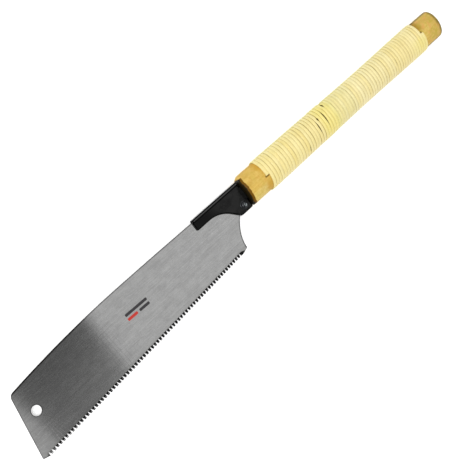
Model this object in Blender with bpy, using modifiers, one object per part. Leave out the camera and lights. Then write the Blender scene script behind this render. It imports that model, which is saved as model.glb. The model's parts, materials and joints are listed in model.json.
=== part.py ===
"""Japanese single-edge pull saw (kataba) with a changeable blade and a rattan-wrapped wooden handle.

The saw lies on its side. +X runs from the toe of the blade to the butt of the handle, along the
handle's axis, +Y points to the blade's spine and +Z up, out of the blade's upper side. The world
origin is at the centre of the underside of the whole saw's box.

Dimensions below are millimetres in the saw's own drawing frame: x from the first tooth, y from
the handle's axis, z from the middle plane of the blade. at() turns them into world metres.
"""

import math

import bmesh
import bpy
from mathutils import Matrix, Vector

# Blade
BLADE_THICKNESS = 0.7
TOOTH_PITCH = 1.8
TOOTH_COUNT = 141
TOOTH_HEIGHT = 2.7
TOOTH_TIP_SHARE = 0.6
TIP_LINE_START = (0.0, -56.7)
TIP_LINE_SLOPE = 13.0 / 257.0
TOE_SPINE = (5.2, 3.6)
TOE_HEEL = (-7.2, -54.8)
TOE_LAND = 1.3
SPINE_CREST_X = 140.0
SPINE_CREST_Y = 11.7
SPINE_TOE_DROP = 8.1
SPINE_HEEL_DROP = 0.6
HEEL_CORNER = (263.4, -40.8)
HEEL_BULGE = (264.3, -27.0)
HEEL_TOP = (278.4, -13.9)
TANG_REAR_X = 290.5
TANG_SPINE_END_X = 285.0
TANG_BOTTOM_Y = -13.7
HANG_HOLE = (14.2, -20.4)
HANG_HOLE_DIAMETER = 9.2

# Blade holder: two side plates under a folded spine channel
HOLDER_FRONT_X = 233.4
HOLDER_REAR_X = 295.0
PLATE_THICKNESS = 1.2
PLATE_INNER_Z = 0.6
PLATE_TOP_Y = 11.6
ARM_BOTTOM_Y = 2.1
PLATE_BOTTOM_Y = -15.2
PLATE_LOWER_CORNER_X = 280.2
PLATE_EDGE_ROUND = 0.35
CHANNEL_BOTTOM_Y = 10.1
CHANNEL_INNER_TOP_Y = 11.9
CHANNEL_TOP_Y = 12.6
CHANNEL_INNER_Z = 2.0
CHANNEL_OUTER_Z = 2.8
CHANNEL_CORNER = 1.1

# Tang: the plates' tongues and a core plate, riveted together inside the handle
TONGUE_HALF_WIDTH = 7.5
TONGUE_END_X = 364.0
CORE_FRONT_X = 294.0
CORE_END_X = 368.0
CORE_THICKNESS = 0.7
TANG_RIVET_DIAMETER = 3.0
TANG_RIVETS_X = {"tang_rivet_front": 308.0, "tang_rivet_rear": 343.0}
HANDLE_PIN_DIAMETER = 3.2
HANDLE_PINS_X = {"handle_pin_front": 329.0, "handle_pin_rear": 357.0}
HANDLE_PIN_HALF_LENGTH = 10.5

# Clamp screw, on the axis that the blade's hook swings about
PIVOT = (287.4, -9.1)
SCREW_DIAMETER = 4.0
SCREW_HEAD_DIAMETER = 6.8
SCREW_HEAD_HEIGHT = 1.9
SCREW_SLOT_WIDTH = 0.9
SCREW_SLOT_DEPTH = 0.9
SCREW_SLOT_ANGLE = 32.0
SCREW_BORE = 4.6
WASHER_DIAMETER = 8.4
WASHER_THICKNESS = 0.5
NUT_FLATS = 7.0
NUT_THICKNESS = 2.4
HOOK_SLOT = 4.5

# Handle: an oval turned form, split on the blade's plane
HANDLE_FRONT_X = 295.3
HANDLE_BUTT_X = 613.6
HANDLE_FLATNESS = 0.69
HANDLE_FRONT_ROUND = (5.0, 3.6)
HANDLE_BUTT_ROUND = 3.0
HANDLE_SEAM = 0.2
MORTISE_CLEARANCE = 0.3
FRONT_HALF_WIDTH = 16.0
WAIST_HALF_WIDTH = 14.95
REAR_HALF_WIDTH = 15.8
WAIST_X = 478.0
AROUND = 36

# Rattan wrapping
RATTAN_GAP = 0.2
RATTAN_THICKNESS = 1.1
RATTAN_LAP_EXTRA = 0.25
RATTAN_SPANS = {
    "rattan_wrap_front": (320.6, 407.2, 0.0, 6),
    "rattan_lap": (407.5, 428.2, RATTAN_LAP_EXTRA, 2),
    "rattan_wrap_rear": (428.5, 583.8, 0.0, 8),
}

FIT = 0.1
MM = 0.001

# The drawing frame's point that lies at the world origin
MIDDLE_X = (TOE_HEEL[0] + HANDLE_BUTT_X) / 2
BLADE_LOW_Y = TIP_LINE_START[1] - 0.15
RATTAN_FRONT_HALF_WIDTH = FRONT_HALF_WIDTH + RATTAN_GAP + RATTAN_THICKNESS
MIDDLE_Y = (BLADE_LOW_Y + RATTAN_FRONT_HALF_WIDTH) / 2
BLADE_Z = RATTAN_FRONT_HALF_WIDTH * HANDLE_FLATNESS


def at(x, y, z=0.0):
    """World metres of a point of the drawing frame."""
    return Vector((x - MIDDLE_X, y - MIDDLE_Y, z + BLADE_Z)) * MM


def clear_scene():
    for obj in list(bpy.data.objects):
        bpy.data.objects.remove(obj, do_unlink=True)
    for name in ("pull_saw", "pull_saw_cutters"):
        old = bpy.data.collections.get(name)
        if old:
            bpy.data.collections.remove(old)


def make_collection(name):
    collection = bpy.data.collections.new(name)
    bpy.context.scene.collection.children.link(collection)
    return collection


def material(name, colour, roughness, metallic=0.0):
    made = bpy.data.materials.new(name)
    made.use_nodes = True
    shader = made.node_tree.nodes["Principled BSDF"]
    shader.inputs["Base Color"].default_value = (*colour, 1.0)
    shader.inputs["Roughness"].default_value = roughness
    shader.inputs["Metallic"].default_value = metallic
    made.diffuse_color = (*colour, 1.0)
    return made


# ---------------------------------------------------------------- outlines


def arc(centre, radius, start, end, count):
    """Points along an arc, with its angles in degrees."""
    points = []
    for i in range(count + 1):
        angle = math.radians(start + (end - start) * i / count)
        points.append((centre[0] + radius * math.cos(angle), centre[1] + radius * math.sin(angle)))
    return points


def circle(centre, diameter, count):
    return arc(centre, diameter / 2, 0, 360 - 360 / count, count - 1)


def bezier(p0, p1, p2, count):
    """Points along a quadratic curve."""
    points = []
    for i in range(count + 1):
        t = i / count
        points.append(
            tuple((1 - t) ** 2 * a + 2 * t * (1 - t) * b + t * t * c for a, b, c in zip(p0, p1, p2))
        )
    return points


def spine_y(x):
    """The spine's height: it rises in a long bow from the toe and is almost level behind it."""
    if x < SPINE_CREST_X:
        share = (SPINE_CREST_X - x) / (SPINE_CREST_X - TOE_SPINE[0])
        return SPINE_CREST_Y - SPINE_TOE_DROP * share**2
    share = (x - SPINE_CREST_X) / (HOLDER_FRONT_X - SPINE_CREST_X)
    return SPINE_CREST_Y - SPINE_HEEL_DROP * min(share, 1.0) ** 2


def tip_y(x):
    return TIP_LINE_START[1] + TIP_LINE_SLOPE * x


def blade_outline():
    """Counterclockwise from the toe, along the teeth, up the heel, round the hook and back along the spine."""
    points = [TOE_HEEL, (TOE_HEEL[0] + 0.5, tip_y(TOE_HEEL[0]) + 1.2), (TOE_HEEL[0] + 2.2, tip_y(TOE_HEEL[0]) + 0.3)]
    points.append((-TOE_LAND, tip_y(-TOE_LAND) - 0.15))
    for i in range(TOOTH_COUNT):
        x = i * TOOTH_PITCH
        points.append((x, tip_y(x) + TOOTH_HEIGHT))
        tip = x + TOOTH_PITCH * TOOTH_TIP_SHARE
        points.append((tip, tip_y(tip)))
    x = TOOTH_COUNT * TOOTH_PITCH
    points.append((x, tip_y(x) + TOOTH_HEIGHT))
    points.append((x + 1.4, tip_y(x + 1.4)))
    points.append((HEEL_CORNER[0] - 1.0, tip_y(HEEL_CORNER[0]) + 1.6))
    points += bezier(HEEL_CORNER, HEEL_BULGE, HEEL_TOP, 12)
    points += bezier(HEEL_TOP, (281.0, TANG_BOTTOM_Y), (284.0, TANG_BOTTOM_Y), 3)[1:]
    points.append((TANG_REAR_X - 1.2, TANG_BOTTOM_Y))
    points.append((TANG_REAR_X, TANG_BOTTOM_Y + 1.0))
    points.append((TANG_REAR_X, PIVOT[1] - HOOK_SLOT / 2))
    points += arc((PIVOT[0], PIVOT[1]), HOOK_SLOT / 2, 270, 90, 10)
    points.append((TANG_REAR_X, PIVOT[1] + HOOK_SLOT / 2))
    points.append((TANG_REAR_X, 6.0))
    points += bezier((TANG_REAR_X, 6.0), (TANG_REAR_X, spine_y(400)), (TANG_SPINE_END_X, spine_y(400)), 5)[1:]
    for x in (260.0, HOLDER_FRONT_X):
        points.append((x, spine_y(x)))
    steps = 26
    start = TOE_SPINE[0] + 2.0
    for i in range(1, steps + 1):
        x = HOLDER_FRONT_X + (start - HOLDER_FRONT_X) * i / steps
        points.append((x, spine_y(x)))
    edge = Vector(TOE_HEEL) - Vector(TOE_SPINE)
    below = Vector(TOE_SPINE) + edge.normalized() * 2.0
    points += bezier(points[-1], TOE_SPINE, tuple(below), 4)[1:]
    return points


def lower_edge():
    """The plates' lower edge, from the arm's front to the corner under the clamp screw."""
    sweep = bezier((250.0, ARM_BOTTOM_Y), (264.5, ARM_BOTTOM_Y - 0.5), (272.6, -7.6), 9)
    return [(HOLDER_FRONT_X + 0.8, ARM_BOTTOM_Y)] + sweep + [(276.5, -11.6), (279.2, -14.5)]


def tongue(front_x, end_x, half_width):
    """The rear end of a tang plate, from its lower front corner round to its upper one."""
    return [
        (front_x, -half_width),
        (end_x - 8.0, -half_width + 1.2),
        (end_x - 2.5, -half_width + 2.0),
        (end_x, -half_width + 4.5),
        (end_x, half_width - 4.5),
        (end_x - 2.5, half_width - 2.0),
        (end_x - 8.0, half_width - 1.2),
        (front_x, half_width),
    ]


def plate_outline():
    points = lower_edge()
    points += [(PLATE_LOWER_CORNER_X, PLATE_BOTTOM_Y), (HOLDER_REAR_X - 0.8, PLATE_BOTTOM_Y)]
    points.append((HOLDER_REAR_X, PLATE_BOTTOM_Y + 0.8))
    points += tongue(HOLDER_REAR_X, TONGUE_END_X, TONGUE_HALF_WIDTH)
    points += [(HOLDER_REAR_X, PLATE_TOP_Y), (HOLDER_FRONT_X + 0.8, PLATE_TOP_Y)]
    points += [(HOLDER_FRONT_X, PLATE_TOP_Y - 0.8), (HOLDER_FRONT_X, ARM_BOTTOM_Y + 0.8)]
    return points


def channel_section():
    """The folded channel's section as (y, z): a U that opens downwards, towards the teeth."""
    z, top, corner = CHANNEL_OUTER_Z, CHANNEL_TOP_Y, CHANNEL_CORNER
    points = [(CHANNEL_BOTTOM_Y, -z + 0.2), (CHANNEL_BOTTOM_Y + 0.2, -z)]
    points += arc((top - corner, -z + corner), corner, 270, 360, 5)
    points += arc((top - corner, z - corner), corner, 0, 90, 5)
    points += [(CHANNEL_BOTTOM_Y + 0.2, z), (CHANNEL_BOTTOM_Y, z - 0.2)]
    points += [(CHANNEL_BOTTOM_Y, CHANNEL_INNER_Z), (CHANNEL_INNER_TOP_Y, CHANNEL_INNER_Z)]
    points += [(CHANNEL_INNER_TOP_Y, -CHANNEL_INNER_Z), (CHANNEL_BOTTOM_Y, -CHANNEL_INNER_Z)]
    return points


# ---------------------------------------------------------------- solids


def finish_mesh(name, mesh, where, collection, shader, smooth_angle=35.0):
    mesh.name = name
    obj = bpy.data.objects.new(name, mesh)
    obj.location = where
    collection.objects.link(obj)
    mesh.materials.clear()
    mesh.materials.append(shader)
    mesh.shade_smooth()
    mesh.set_sharp_from_angle(angle=math.radians(smooth_angle))
    return obj


def evaluated_mesh(obj):
    """The object's evaluated mesh, welded and with its faces out. The object is removed."""
    bpy.context.view_layer.update()
    graph = bpy.context.evaluated_depsgraph_get()
    mesh = bpy.data.meshes.new_from_object(obj.evaluated_get(graph))
    data = obj.data
    bpy.data.objects.remove(obj, do_unlink=True)
    bpy.data.meshes.remove(data)
    bm = bmesh.new()
    bm.from_mesh(mesh)
    bmesh.ops.remove_doubles(bm, verts=bm.verts, dist=0.000002)
    bmesh.ops.recalc_face_normals(bm, faces=bm.faces)
    bm.to_mesh(mesh)
    bm.free()
    return mesh


def flat_solid(name, outline, thickness, middle_z, origin, collection, shader, rounding=0.0, to_axes=None):
    """A flat outline, filled and extruded to its thickness. The origin is a point of the drawing frame."""
    mesh = bpy.data.meshes.new(name)
    bm = bmesh.new()
    verts = [bm.verts.new(((x - origin[0]) * MM, (y - origin[1]) * MM, -thickness / 2 * MM)) for x, y in outline]
    loop = [bm.edges.new((verts[i - 1], verts[i])) for i in range(len(verts))]
    filled = bmesh.ops.edgeloop_fill(bm, edges=loop)["faces"]
    grown = bmesh.ops.extrude_face_region(bm, geom=filled)["geom"]
    top = [item for item in grown if isinstance(item, bmesh.types.BMVert)]
    bmesh.ops.translate(bm, vec=(0.0, 0.0, thickness * MM), verts=top)
    bmesh.ops.recalc_face_normals(bm, faces=bm.faces)
    bm.to_mesh(mesh)
    bm.free()
    if to_axes:
        mesh.transform(to_axes)
        origin, middle_z = (0.0, 0.0), 0.0
    obj = finish_mesh(name, mesh, at(origin[0], origin[1], middle_z), collection, shader)
    if rounding:
        bevel = obj.modifiers.new("Edges", "BEVEL")
        bevel.width = rounding * MM
        bevel.segments = 2
        bevel.limit_method = "ANGLE"
        bevel.angle_limit = math.radians(50)
    return obj


def turned_mesh(name, profile, steps, collection, closed=False):
    """A profile of (radius, height) pairs turned about Z. It runs down the outer side."""
    mesh = bpy.data.meshes.new(name)
    bm = bmesh.new()
    verts = [bm.verts.new((r * MM, 0.0, h * MM)) for r, h in profile]
    for a, b in zip(verts, verts[1:]):
        bm.edges.new((a, b))
    if closed:
        bm.edges.new((verts[-1], verts[0]))
    bm.to_mesh(mesh)
    bm.free()
    obj = bpy.data.objects.new(name + "_profile", mesh)
    collection.objects.link(obj)
    screw = obj.modifiers.new("Screw", "SCREW")
    screw.axis = "Z"
    screw.steps = steps
    screw.render_steps = steps
    screw.use_merge_vertices = True
    screw.merge_threshold = 0.00001
    screw.use_smooth_shade = True
    return evaluated_mesh(obj)


def cutter(name, kind, size, where, collection, sides=24):
    """A box of a given size, or a cylinder of a given (diameter, length), standing along Z."""
    mesh = bpy.data.meshes.new(name)
    bm = bmesh.new()
    if kind == "box":
        bmesh.ops.create_cube(bm, size=1.0)
        bmesh.ops.scale(bm, vec=Vector(size) * MM, verts=bm.verts)
    else:
        bmesh.ops.create_cone(
            bm,
            cap_ends=True,
            segments=sides,
            radius1=size[0] / 2 * MM,
            radius2=size[0] / 2 * MM,
            depth=size[1] * MM,
        )
    bm.to_mesh(mesh)
    bm.free()
    obj = bpy.data.objects.new(name, mesh)
    obj.location = where
    obj.hide_render = True
    obj.display_type = "WIRE"
    collection.objects.link(obj)
    return obj


def cut(obj, tool):
    modifier = obj.modifiers.new("Cut_" + tool.name, "BOOLEAN")
    modifier.operation = "DIFFERENCE"
    modifier.solver = "EXACT"
    modifier.object = tool


def handle_half_width(x):
    """The bare wood's half width: full behind the holder, a slight waist, and full again at the butt."""
    if x < WAIST_X:
        share = (x - 330.0) / (WAIST_X - 330.0)
        start, end = FRONT_HALF_WIDTH, WAIST_HALF_WIDTH
    else:
        share = (x - WAIST_X) / (580.0 - WAIST_X)
        start, end = WAIST_HALF_WIDTH, REAR_HALF_WIDTH
    share = min(max(share, 0.0), 1.0)
    share = share * share * (3 - 2 * share)
    return start + (end - start) * share


def stations(start, end, count):
    return [start + (end - start) * i / count for i in range(count + 1)]


def handle_profile():
    """(radius, height) from the butt's tip, at the top, down to the front face."""
    profile = [(0.0, HANDLE_BUTT_X)]
    for i in range(0, 6):
        angle = math.radians(90 * i / 5)
        profile.append(
            (
                REAR_HALF_WIDTH - HANDLE_BUTT_ROUND * (1 - math.sin(angle)),
                HANDLE_BUTT_X - HANDLE_BUTT_ROUND * (1 - math.cos(angle)),
            )
        )
    for x in reversed(stations(330.0, 600.0, 15)):
        profile.append((handle_half_width(x), x))
    profile.append((handle_half_width(310.0), 310.0))
    for i in range(0, 4):
        angle = math.radians(90 * i / 3)
        x = HANDLE_FRONT_X + HANDLE_FRONT_ROUND[0] * (1 - math.sin(angle))
        profile.append((FRONT_HALF_WIDTH - HANDLE_FRONT_ROUND[1] * (1 - math.cos(angle)), x))
    profile.append((0.0, HANDLE_FRONT_X))
    return profile


def lay_along_x(mesh):
    """Turns a form standing along Z, at heights of the drawing frame's x, to lie along X, and flattens it to an oval."""
    mesh.transform(Matrix(((0, 0, 1, 0), (1, 0, 0, 0), (0, 1, 0, 0), (0, 0, 0, 1))))
    mesh.transform(Matrix.Diagonal((1.0, 1.0, HANDLE_FLATNESS, 1.0)))


def build():
    clear_scene()
    parts = make_collection("pull_saw")
    cutters = make_collection("pull_saw_cutters")

    steel = material("blade_steel", (0.52, 0.52, 0.53), 0.35, 1.0)
    black = material("holder_black", (0.012, 0.012, 0.013), 0.32)
    oxide = material("screw_steel", (0.14, 0.145, 0.15), 0.35, 1.0)
    plain = material("tang_steel", (0.35, 0.35, 0.36), 0.5, 1.0)
    wood = material("handle_wood", (0.73, 0.5, 0.2), 0.6)
    rattan = material("rattan", (0.9, 0.78, 0.38), 0.5)

    saw = bpy.data.objects.new("saw", None)
    parts.objects.link(saw)
    blade_pivot = bpy.data.objects.new("blade_pivot", None)
    blade_pivot.location = at(PIVOT[0], PIVOT[1], 0.0)
    blade_pivot.parent = saw
    parts.objects.link(blade_pivot)

    made = []

    # Blade. Its origin is on the pivot, and the hook's slot opens to the rear.
    blade = flat_solid(
        "saw_blade",
        blade_outline(),
        BLADE_THICKNESS,
        0.0,
        PIVOT,
        parts,
        steel,
    )
    blade.location = (0, 0, 0)
    blade.parent = blade_pivot
    cut(blade, cutter("hanging_hole", "cylinder", (HANG_HOLE_DIAMETER, 6.0), at(*HANG_HOLE), cutters, sides=32))

    # Side plates: equal stampings, one above and one below the blade.
    screw_bore = cutter("screw_bore", "cylinder", (SCREW_BORE, 20.0), at(*PIVOT), cutters)
    rivet_holes = [
        cutter(name + "_hole", "cylinder", (TANG_RIVET_DIAMETER + 2 * FIT, 10.0), at(x, 0.0), cutters, sides=16)
        for name, x in TANG_RIVETS_X.items()
    ]
    pin_bores = [
        cutter(name + "_bore", "cylinder", (HANDLE_PIN_DIAMETER + 4 * FIT, 40.0), at(x, 0.0), cutters, sides=16)
        for name, x in HANDLE_PINS_X.items()
    ]
    plate_middle = PLATE_INNER_Z + PLATE_THICKNESS / 2
    plate_outer = PLATE_INNER_Z + PLATE_THICKNESS
    for name, side in (("holder_plate_upper", 1), ("holder_plate_lower", -1)):
        plate = flat_solid(
            name,
            plate_outline(),
            PLATE_THICKNESS,
            side * plate_middle,
            (0.0, 0.0),
            parts,
            black,
            rounding=PLATE_EDGE_ROUND,
        )
        for tool in [screw_bore] + rivet_holes + pin_bores:
            cut(plate, tool)
        made.append(plate)

    # Spine channel: one U section along the top of both plates.
    length = HOLDER_REAR_X - HOLDER_FRONT_X
    to_axes = Matrix.Translation(Vector(((HOLDER_FRONT_X + length / 2) * MM, 0, 0))) @ Matrix(
        ((0, 0, 1, 0), (1, 0, 0, 0), (0, 1, 0, 0), (0, 0, 0, 1))
    )
    made.append(
        flat_solid(
            "spine_channel", channel_section(), length, 0.0, (0.0, 0.0), parts, black, to_axes=to_axes
        )
    )

    # Tang core between the tongues of the two plates.
    outline = tongue(CORE_FRONT_X, CORE_END_X, TONGUE_HALF_WIDTH)
    core = flat_solid("tang_core", outline, CORE_THICKNESS, 0.0, (0.0, 0.0), parts, plain)
    for tool in rivet_holes + pin_bores:
        cut(core, tool)
    made.append(core)

    # Flush tang rivets and the pins across the handle.
    for name, x in TANG_RIVETS_X.items():
        half = plate_outer
        radius = TANG_RIVET_DIAMETER / 2
        profile = [(0, half), (radius - 0.3, half), (radius, half - 0.3), (radius, 0.3 - half), (radius - 0.3, -half), (0, -half)]
        mesh = turned_mesh(name, profile, 16, parts)
        made.append(finish_mesh(name, mesh, at(x, 0.0), parts, plain))
    for name, x in HANDLE_PINS_X.items():
        half = HANDLE_PIN_HALF_LENGTH
        radius = HANDLE_PIN_DIAMETER / 2
        profile = [(0, half), (radius - 0.4, half), (radius, half - 0.6), (radius, 0.6 - half), (radius - 0.4, -half), (0, -half)]
        mesh = turned_mesh(name, profile, 16, parts)
        made.append(finish_mesh(name, mesh, at(x, 0.0), parts, plain))

    # Clamp screw: a low slotted head with a flat top above, the threaded end below.
    under_head = plate_outer + FIT + WASHER_THICKNESS + FIT
    washer_low = -(plate_outer + FIT)
    nut_top = washer_low - WASHER_THICKNESS - FIT
    end_z = nut_top - NUT_THICKNESS - 0.9
    head = SCREW_HEAD_DIAMETER / 2
    shank = SCREW_DIAMETER / 2
    top = under_head + SCREW_HEAD_HEIGHT
    profile = [(0, top), (head - 1.3, top)]
    for i in range(1, 5):
        angle = math.radians(90 - 90 * i / 4)
        profile.append((head - 1.3 + 1.3 * math.cos(angle), top - 1.4 + 1.4 * math.sin(angle)))
    profile += [(head, under_head), (shank, under_head), (shank, end_z + 0.5), (shank - 0.5, end_z), (0, end_z)]
    mesh = turned_mesh("clamp_screw", profile, 24, parts)
    screw = finish_mesh("clamp_screw", mesh, at(PIVOT[0], PIVOT[1], 0.0), parts, oxide)
    slot = cutter(
        "screw_slot",
        "box",
        (SCREW_HEAD_DIAMETER + 2.0, SCREW_SLOT_WIDTH, 2 * SCREW_SLOT_DEPTH),
        at(PIVOT[0], PIVOT[1], top),
        cutters,
    )
    slot.rotation_euler.z = math.radians(SCREW_SLOT_ANGLE)
    cut(screw, slot)
    made.append(screw)

    # Washers under the head and under the nut.
    for name, low in (("washer_upper", plate_outer + FIT), ("washer_lower", washer_low - WASHER_THICKNESS)):
        inner, outer = SCREW_BORE / 2, WASHER_DIAMETER / 2
        high = low + WASHER_THICKNESS
        profile = [(inner, high), (outer - 0.1, high), (outer, high - 0.1), (outer, low + 0.1), (outer - 0.1, low), (inner, low)]
        mesh = turned_mesh(name, profile, 24, parts, closed=True)
        made.append(finish_mesh(name, mesh, at(PIVOT[0], PIVOT[1], 0.0), parts, oxide))

    # Hexagonal nut below.
    hexagon = circle(PIVOT, NUT_FLATS / math.cos(math.radians(30)), 6)
    nut = flat_solid("clamp_nut", hexagon, NUT_THICKNESS, nut_top - NUT_THICKNESS / 2, PIVOT, parts, oxide)
    cut(nut, cutter("nut_bore", "cylinder", (SCREW_DIAMETER + 2 * FIT, 30.0), at(*PIVOT), cutters))
    made.append(nut)

    # Handle halves: the same turned oval, with the other half and the mortise cut away.
    depth = plate_outer + MORTISE_CLEARANCE
    mortise_end = CORE_END_X + 2.0
    mortise = cutter(
        "mortise",
        "box",
        (mortise_end - HANDLE_FRONT_X + 10.0, 2 * (TONGUE_HALF_WIDTH + MORTISE_CLEARANCE), 2 * depth),
        at((mortise_end + HANDLE_FRONT_X - 10.0) / 2, 0.0),
        cutters,
    )
    for name, side in (("handle_half_upper", 1), ("handle_half_lower", -1)):
        mesh = turned_mesh(name, handle_profile(), AROUND, parts)
        lay_along_x(mesh)
        half = finish_mesh(name, mesh, at(0, 0, 0), parts, wood, smooth_angle=50.0)
        other_side = cutter(
            name + "_split",
            "box",
            (400.0, 60.0, 30.0),
            at((HANDLE_FRONT_X + HANDLE_BUTT_X) / 2, 0.0, side * (HANDLE_SEAM / 2 - 15.0)),
            cutters,
        )
        cut(half, other_side)
        cut(half, mortise)
        for bore in pin_bores:
            cut(half, bore)
        made.append(half)

    # Rattan: oval sleeves that follow the wood.
    for name, (start, end, extra, count) in RATTAN_SPANS.items():
        outer, inner = [], []
        for x in stations(start, end, count):
            wood_width = handle_half_width(x)
            inner.append((wood_width + RATTAN_GAP, x))
            outer.append((wood_width + RATTAN_GAP + RATTAN_THICKNESS + extra, x))
        outer = [(outer[0][0] - 0.4, start), (outer[0][0], start + 0.5)] + outer[1:-1] + [(outer[-1][0], end - 0.5), (outer[-1][0] - 0.4, end)]
        mesh = turned_mesh(name, outer[::-1] + inner, AROUND, parts, closed=True)
        lay_along_x(mesh)
        made.append(finish_mesh(name, mesh, at(0, 0, 0), parts, rattan, smooth_angle=50.0))

    for obj in made:
        obj.parent = saw


build()
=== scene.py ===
"""Looks of the pull saw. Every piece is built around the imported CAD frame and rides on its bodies.

Lengths are millimetres in the saw's drawing frame (x from the first tooth towards the butt, y from the
handle's axis towards the spine, z from the blade's middle plane), and at() turns them into metres.
"""

import json
import math
import random

import bmesh
import bpy
import numpy as np
from mathutils import Matrix, Vector
from mathutils.geometry import delaunay_2d_cdt


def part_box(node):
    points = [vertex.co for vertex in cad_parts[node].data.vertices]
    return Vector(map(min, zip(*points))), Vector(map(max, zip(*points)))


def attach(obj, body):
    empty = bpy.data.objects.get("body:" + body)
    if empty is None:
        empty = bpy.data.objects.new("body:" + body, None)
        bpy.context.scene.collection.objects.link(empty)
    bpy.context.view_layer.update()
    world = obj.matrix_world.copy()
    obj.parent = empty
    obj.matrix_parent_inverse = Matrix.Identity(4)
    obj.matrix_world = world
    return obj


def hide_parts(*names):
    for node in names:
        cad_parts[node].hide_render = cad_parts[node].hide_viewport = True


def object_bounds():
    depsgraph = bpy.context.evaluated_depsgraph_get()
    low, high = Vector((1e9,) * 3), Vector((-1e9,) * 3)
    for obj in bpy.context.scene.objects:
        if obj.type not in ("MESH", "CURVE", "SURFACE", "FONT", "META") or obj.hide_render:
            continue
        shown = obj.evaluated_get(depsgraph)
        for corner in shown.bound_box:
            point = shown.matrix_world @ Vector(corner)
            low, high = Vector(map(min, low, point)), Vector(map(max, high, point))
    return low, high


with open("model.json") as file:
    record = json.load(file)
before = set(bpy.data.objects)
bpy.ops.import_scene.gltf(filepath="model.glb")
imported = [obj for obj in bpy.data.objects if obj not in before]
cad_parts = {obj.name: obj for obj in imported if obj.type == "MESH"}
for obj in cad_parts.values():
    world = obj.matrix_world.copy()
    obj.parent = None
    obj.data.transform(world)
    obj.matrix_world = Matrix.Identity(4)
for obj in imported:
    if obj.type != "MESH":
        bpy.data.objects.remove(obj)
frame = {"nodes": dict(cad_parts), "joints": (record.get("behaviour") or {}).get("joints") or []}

CAD_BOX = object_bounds()
MM = 0.001

# ------------------------------------------------------------------ frame

TOE_X, BUTT_X = -7.2, 613.6
blade_low, blade_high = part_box("saw_blade")
plate_low, plate_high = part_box("holder_plate_upper")
wrap_low, wrap_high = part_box("rattan_wrap_front")
MIDDLE_X = (TOE_X + BUTT_X) / 2 - (CAD_BOX[0].x + CAD_BOX[1].x) / 2 / MM
MIDDLE_Y = -(wrap_low.y + wrap_high.y) / 2 / MM
BLADE_Z = (blade_low.z + blade_high.z) / 2 / MM
THICK = (blade_high.z - blade_low.z) / MM


def at(x, y, z=0.0):
    return Vector(((x - MIDDLE_X) * MM, (y - MIDDLE_Y) * MM, (z + BLADE_Z) * MM))


HEAD_TOP = (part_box("clamp_screw")[1].z) / MM - BLADE_Z


def xd(world_x):
    """A world x in drawing millimetres."""
    return world_x / MM + MIDDLE_X


JOINTS = {j["name"]: j for j in frame["joints"]}
PIVOT_W = Vector(JOINTS["blade_swing"]["pos_m"])
PIVOT = (PIVOT_W.x / MM + MIDDLE_X, PIVOT_W.y / MM + MIDDLE_Y)

# ------------------------------------------------------------------ helpers


def new_piece(name, mesh, body, material, replaces=(), smooth=35.0):
    obj = bpy.data.objects.new(name, mesh)
    bpy.context.scene.collection.objects.link(obj)
    if not mesh.materials:
        mesh.materials.append(material)
    if smooth is not None:
        mesh.shade_smooth()
        mesh.set_sharp_from_angle(angle=math.radians(smooth))
    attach(obj, body)
    if replaces:
        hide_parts(*replaces)
    return obj


def mesh_from(name, verts, faces, recalc=True):
    mesh = bpy.data.meshes.new(name)
    mesh.from_pydata([tuple(v) for v in verts], [], [tuple(int(i) for i in f) for f in faces])
    if recalc:
        bm = bmesh.new()
        bm.from_mesh(mesh)
        bmesh.ops.recalc_face_normals(bm, faces=bm.faces)
        bm.to_mesh(mesh)
        bm.free()
    mesh.update()
    return mesh


def bezier(p0, p1, p2, count):
    out = []
    for i in range(count + 1):
        t = i / count
        out.append(tuple((1 - t) ** 2 * a + 2 * t * (1 - t) * b + t * t * c for a, b, c in zip(p0, p1, p2)))
    return out


def arc(centre, radius, start, end, count):
    out = []
    for i in range(count + 1):
        a = math.radians(start + (end - start) * i / count)
        out.append((centre[0] + radius * math.cos(a), centre[1] + radius * math.sin(a)))
    return out


def rounded(points, radii, count=5):
    """A closed outline with its corners rounded: each corner becomes a short quadratic curve."""
    out = []
    n = len(points)
    for i, p in enumerate(points):
        r = radii[i]
        if r <= 0:
            out.append(p)
            continue
        a, b, c = Vector(points[i - 1]), Vector(p), Vector(points[(i + 1) % n])
        r1 = min(r, (a - b).length * 0.49)
        r2 = min(r, (c - b).length * 0.49)
        start, end = b + (a - b).normalized() * r1, b + (c - b).normalized() * r2
        out += bezier(tuple(start), tuple(b), tuple(end), count)
    return out


def grid_faces(n, m, wrap_rows=False, wrap_cols=False, base=0):
    faces = []
    for i in range(n if wrap_rows else n - 1):
        for j in range(m if wrap_cols else m - 1):
            a, b = i, (i + 1) % n
            c, d = j, (j + 1) % m
            faces.append((base + a * m + c, base + b * m + c, base + b * m + d, base + a * m + d))
    return faces


def turned(name, profile, steps, centre, axis_z=True):
    """A solid turned about a vertical axis through centre: profile is (radius, z) in mm from top to bottom."""
    verts, faces = [], []
    rings = []
    for r, z in profile:
        if r < 1e-6:
            rings.append([len(verts)])
            verts.append(at(centre[0], centre[1], z))
        else:
            ring = []
            for k in range(steps):
                a = 2 * math.pi * k / steps
                ring.append(len(verts))
                verts.append(at(centre[0] + r * math.cos(a), centre[1] + r * math.sin(a), z))
            rings.append(ring)
    for p, q in zip(rings, rings[1:]):
        for k in range(steps):
            l = (k + 1) % steps
            if len(p) == 1 and len(q) == 1:
                continue
            if len(p) == 1:
                faces.append((p[0], q[k], q[l]))
            elif len(q) == 1:
                faces.append((p[k], q[0], p[l]))
            else:
                faces.append((p[k], q[k], q[l], p[l]))
    if len(rings[0]) > 1 and len(rings[-1]) > 1:
        p, q = rings[-1], rings[0]
        for k in range(steps):
            l = (k + 1) % steps
            faces.append((p[k], q[k], q[l], p[l]))
    return mesh_from(name, verts, faces)


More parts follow.
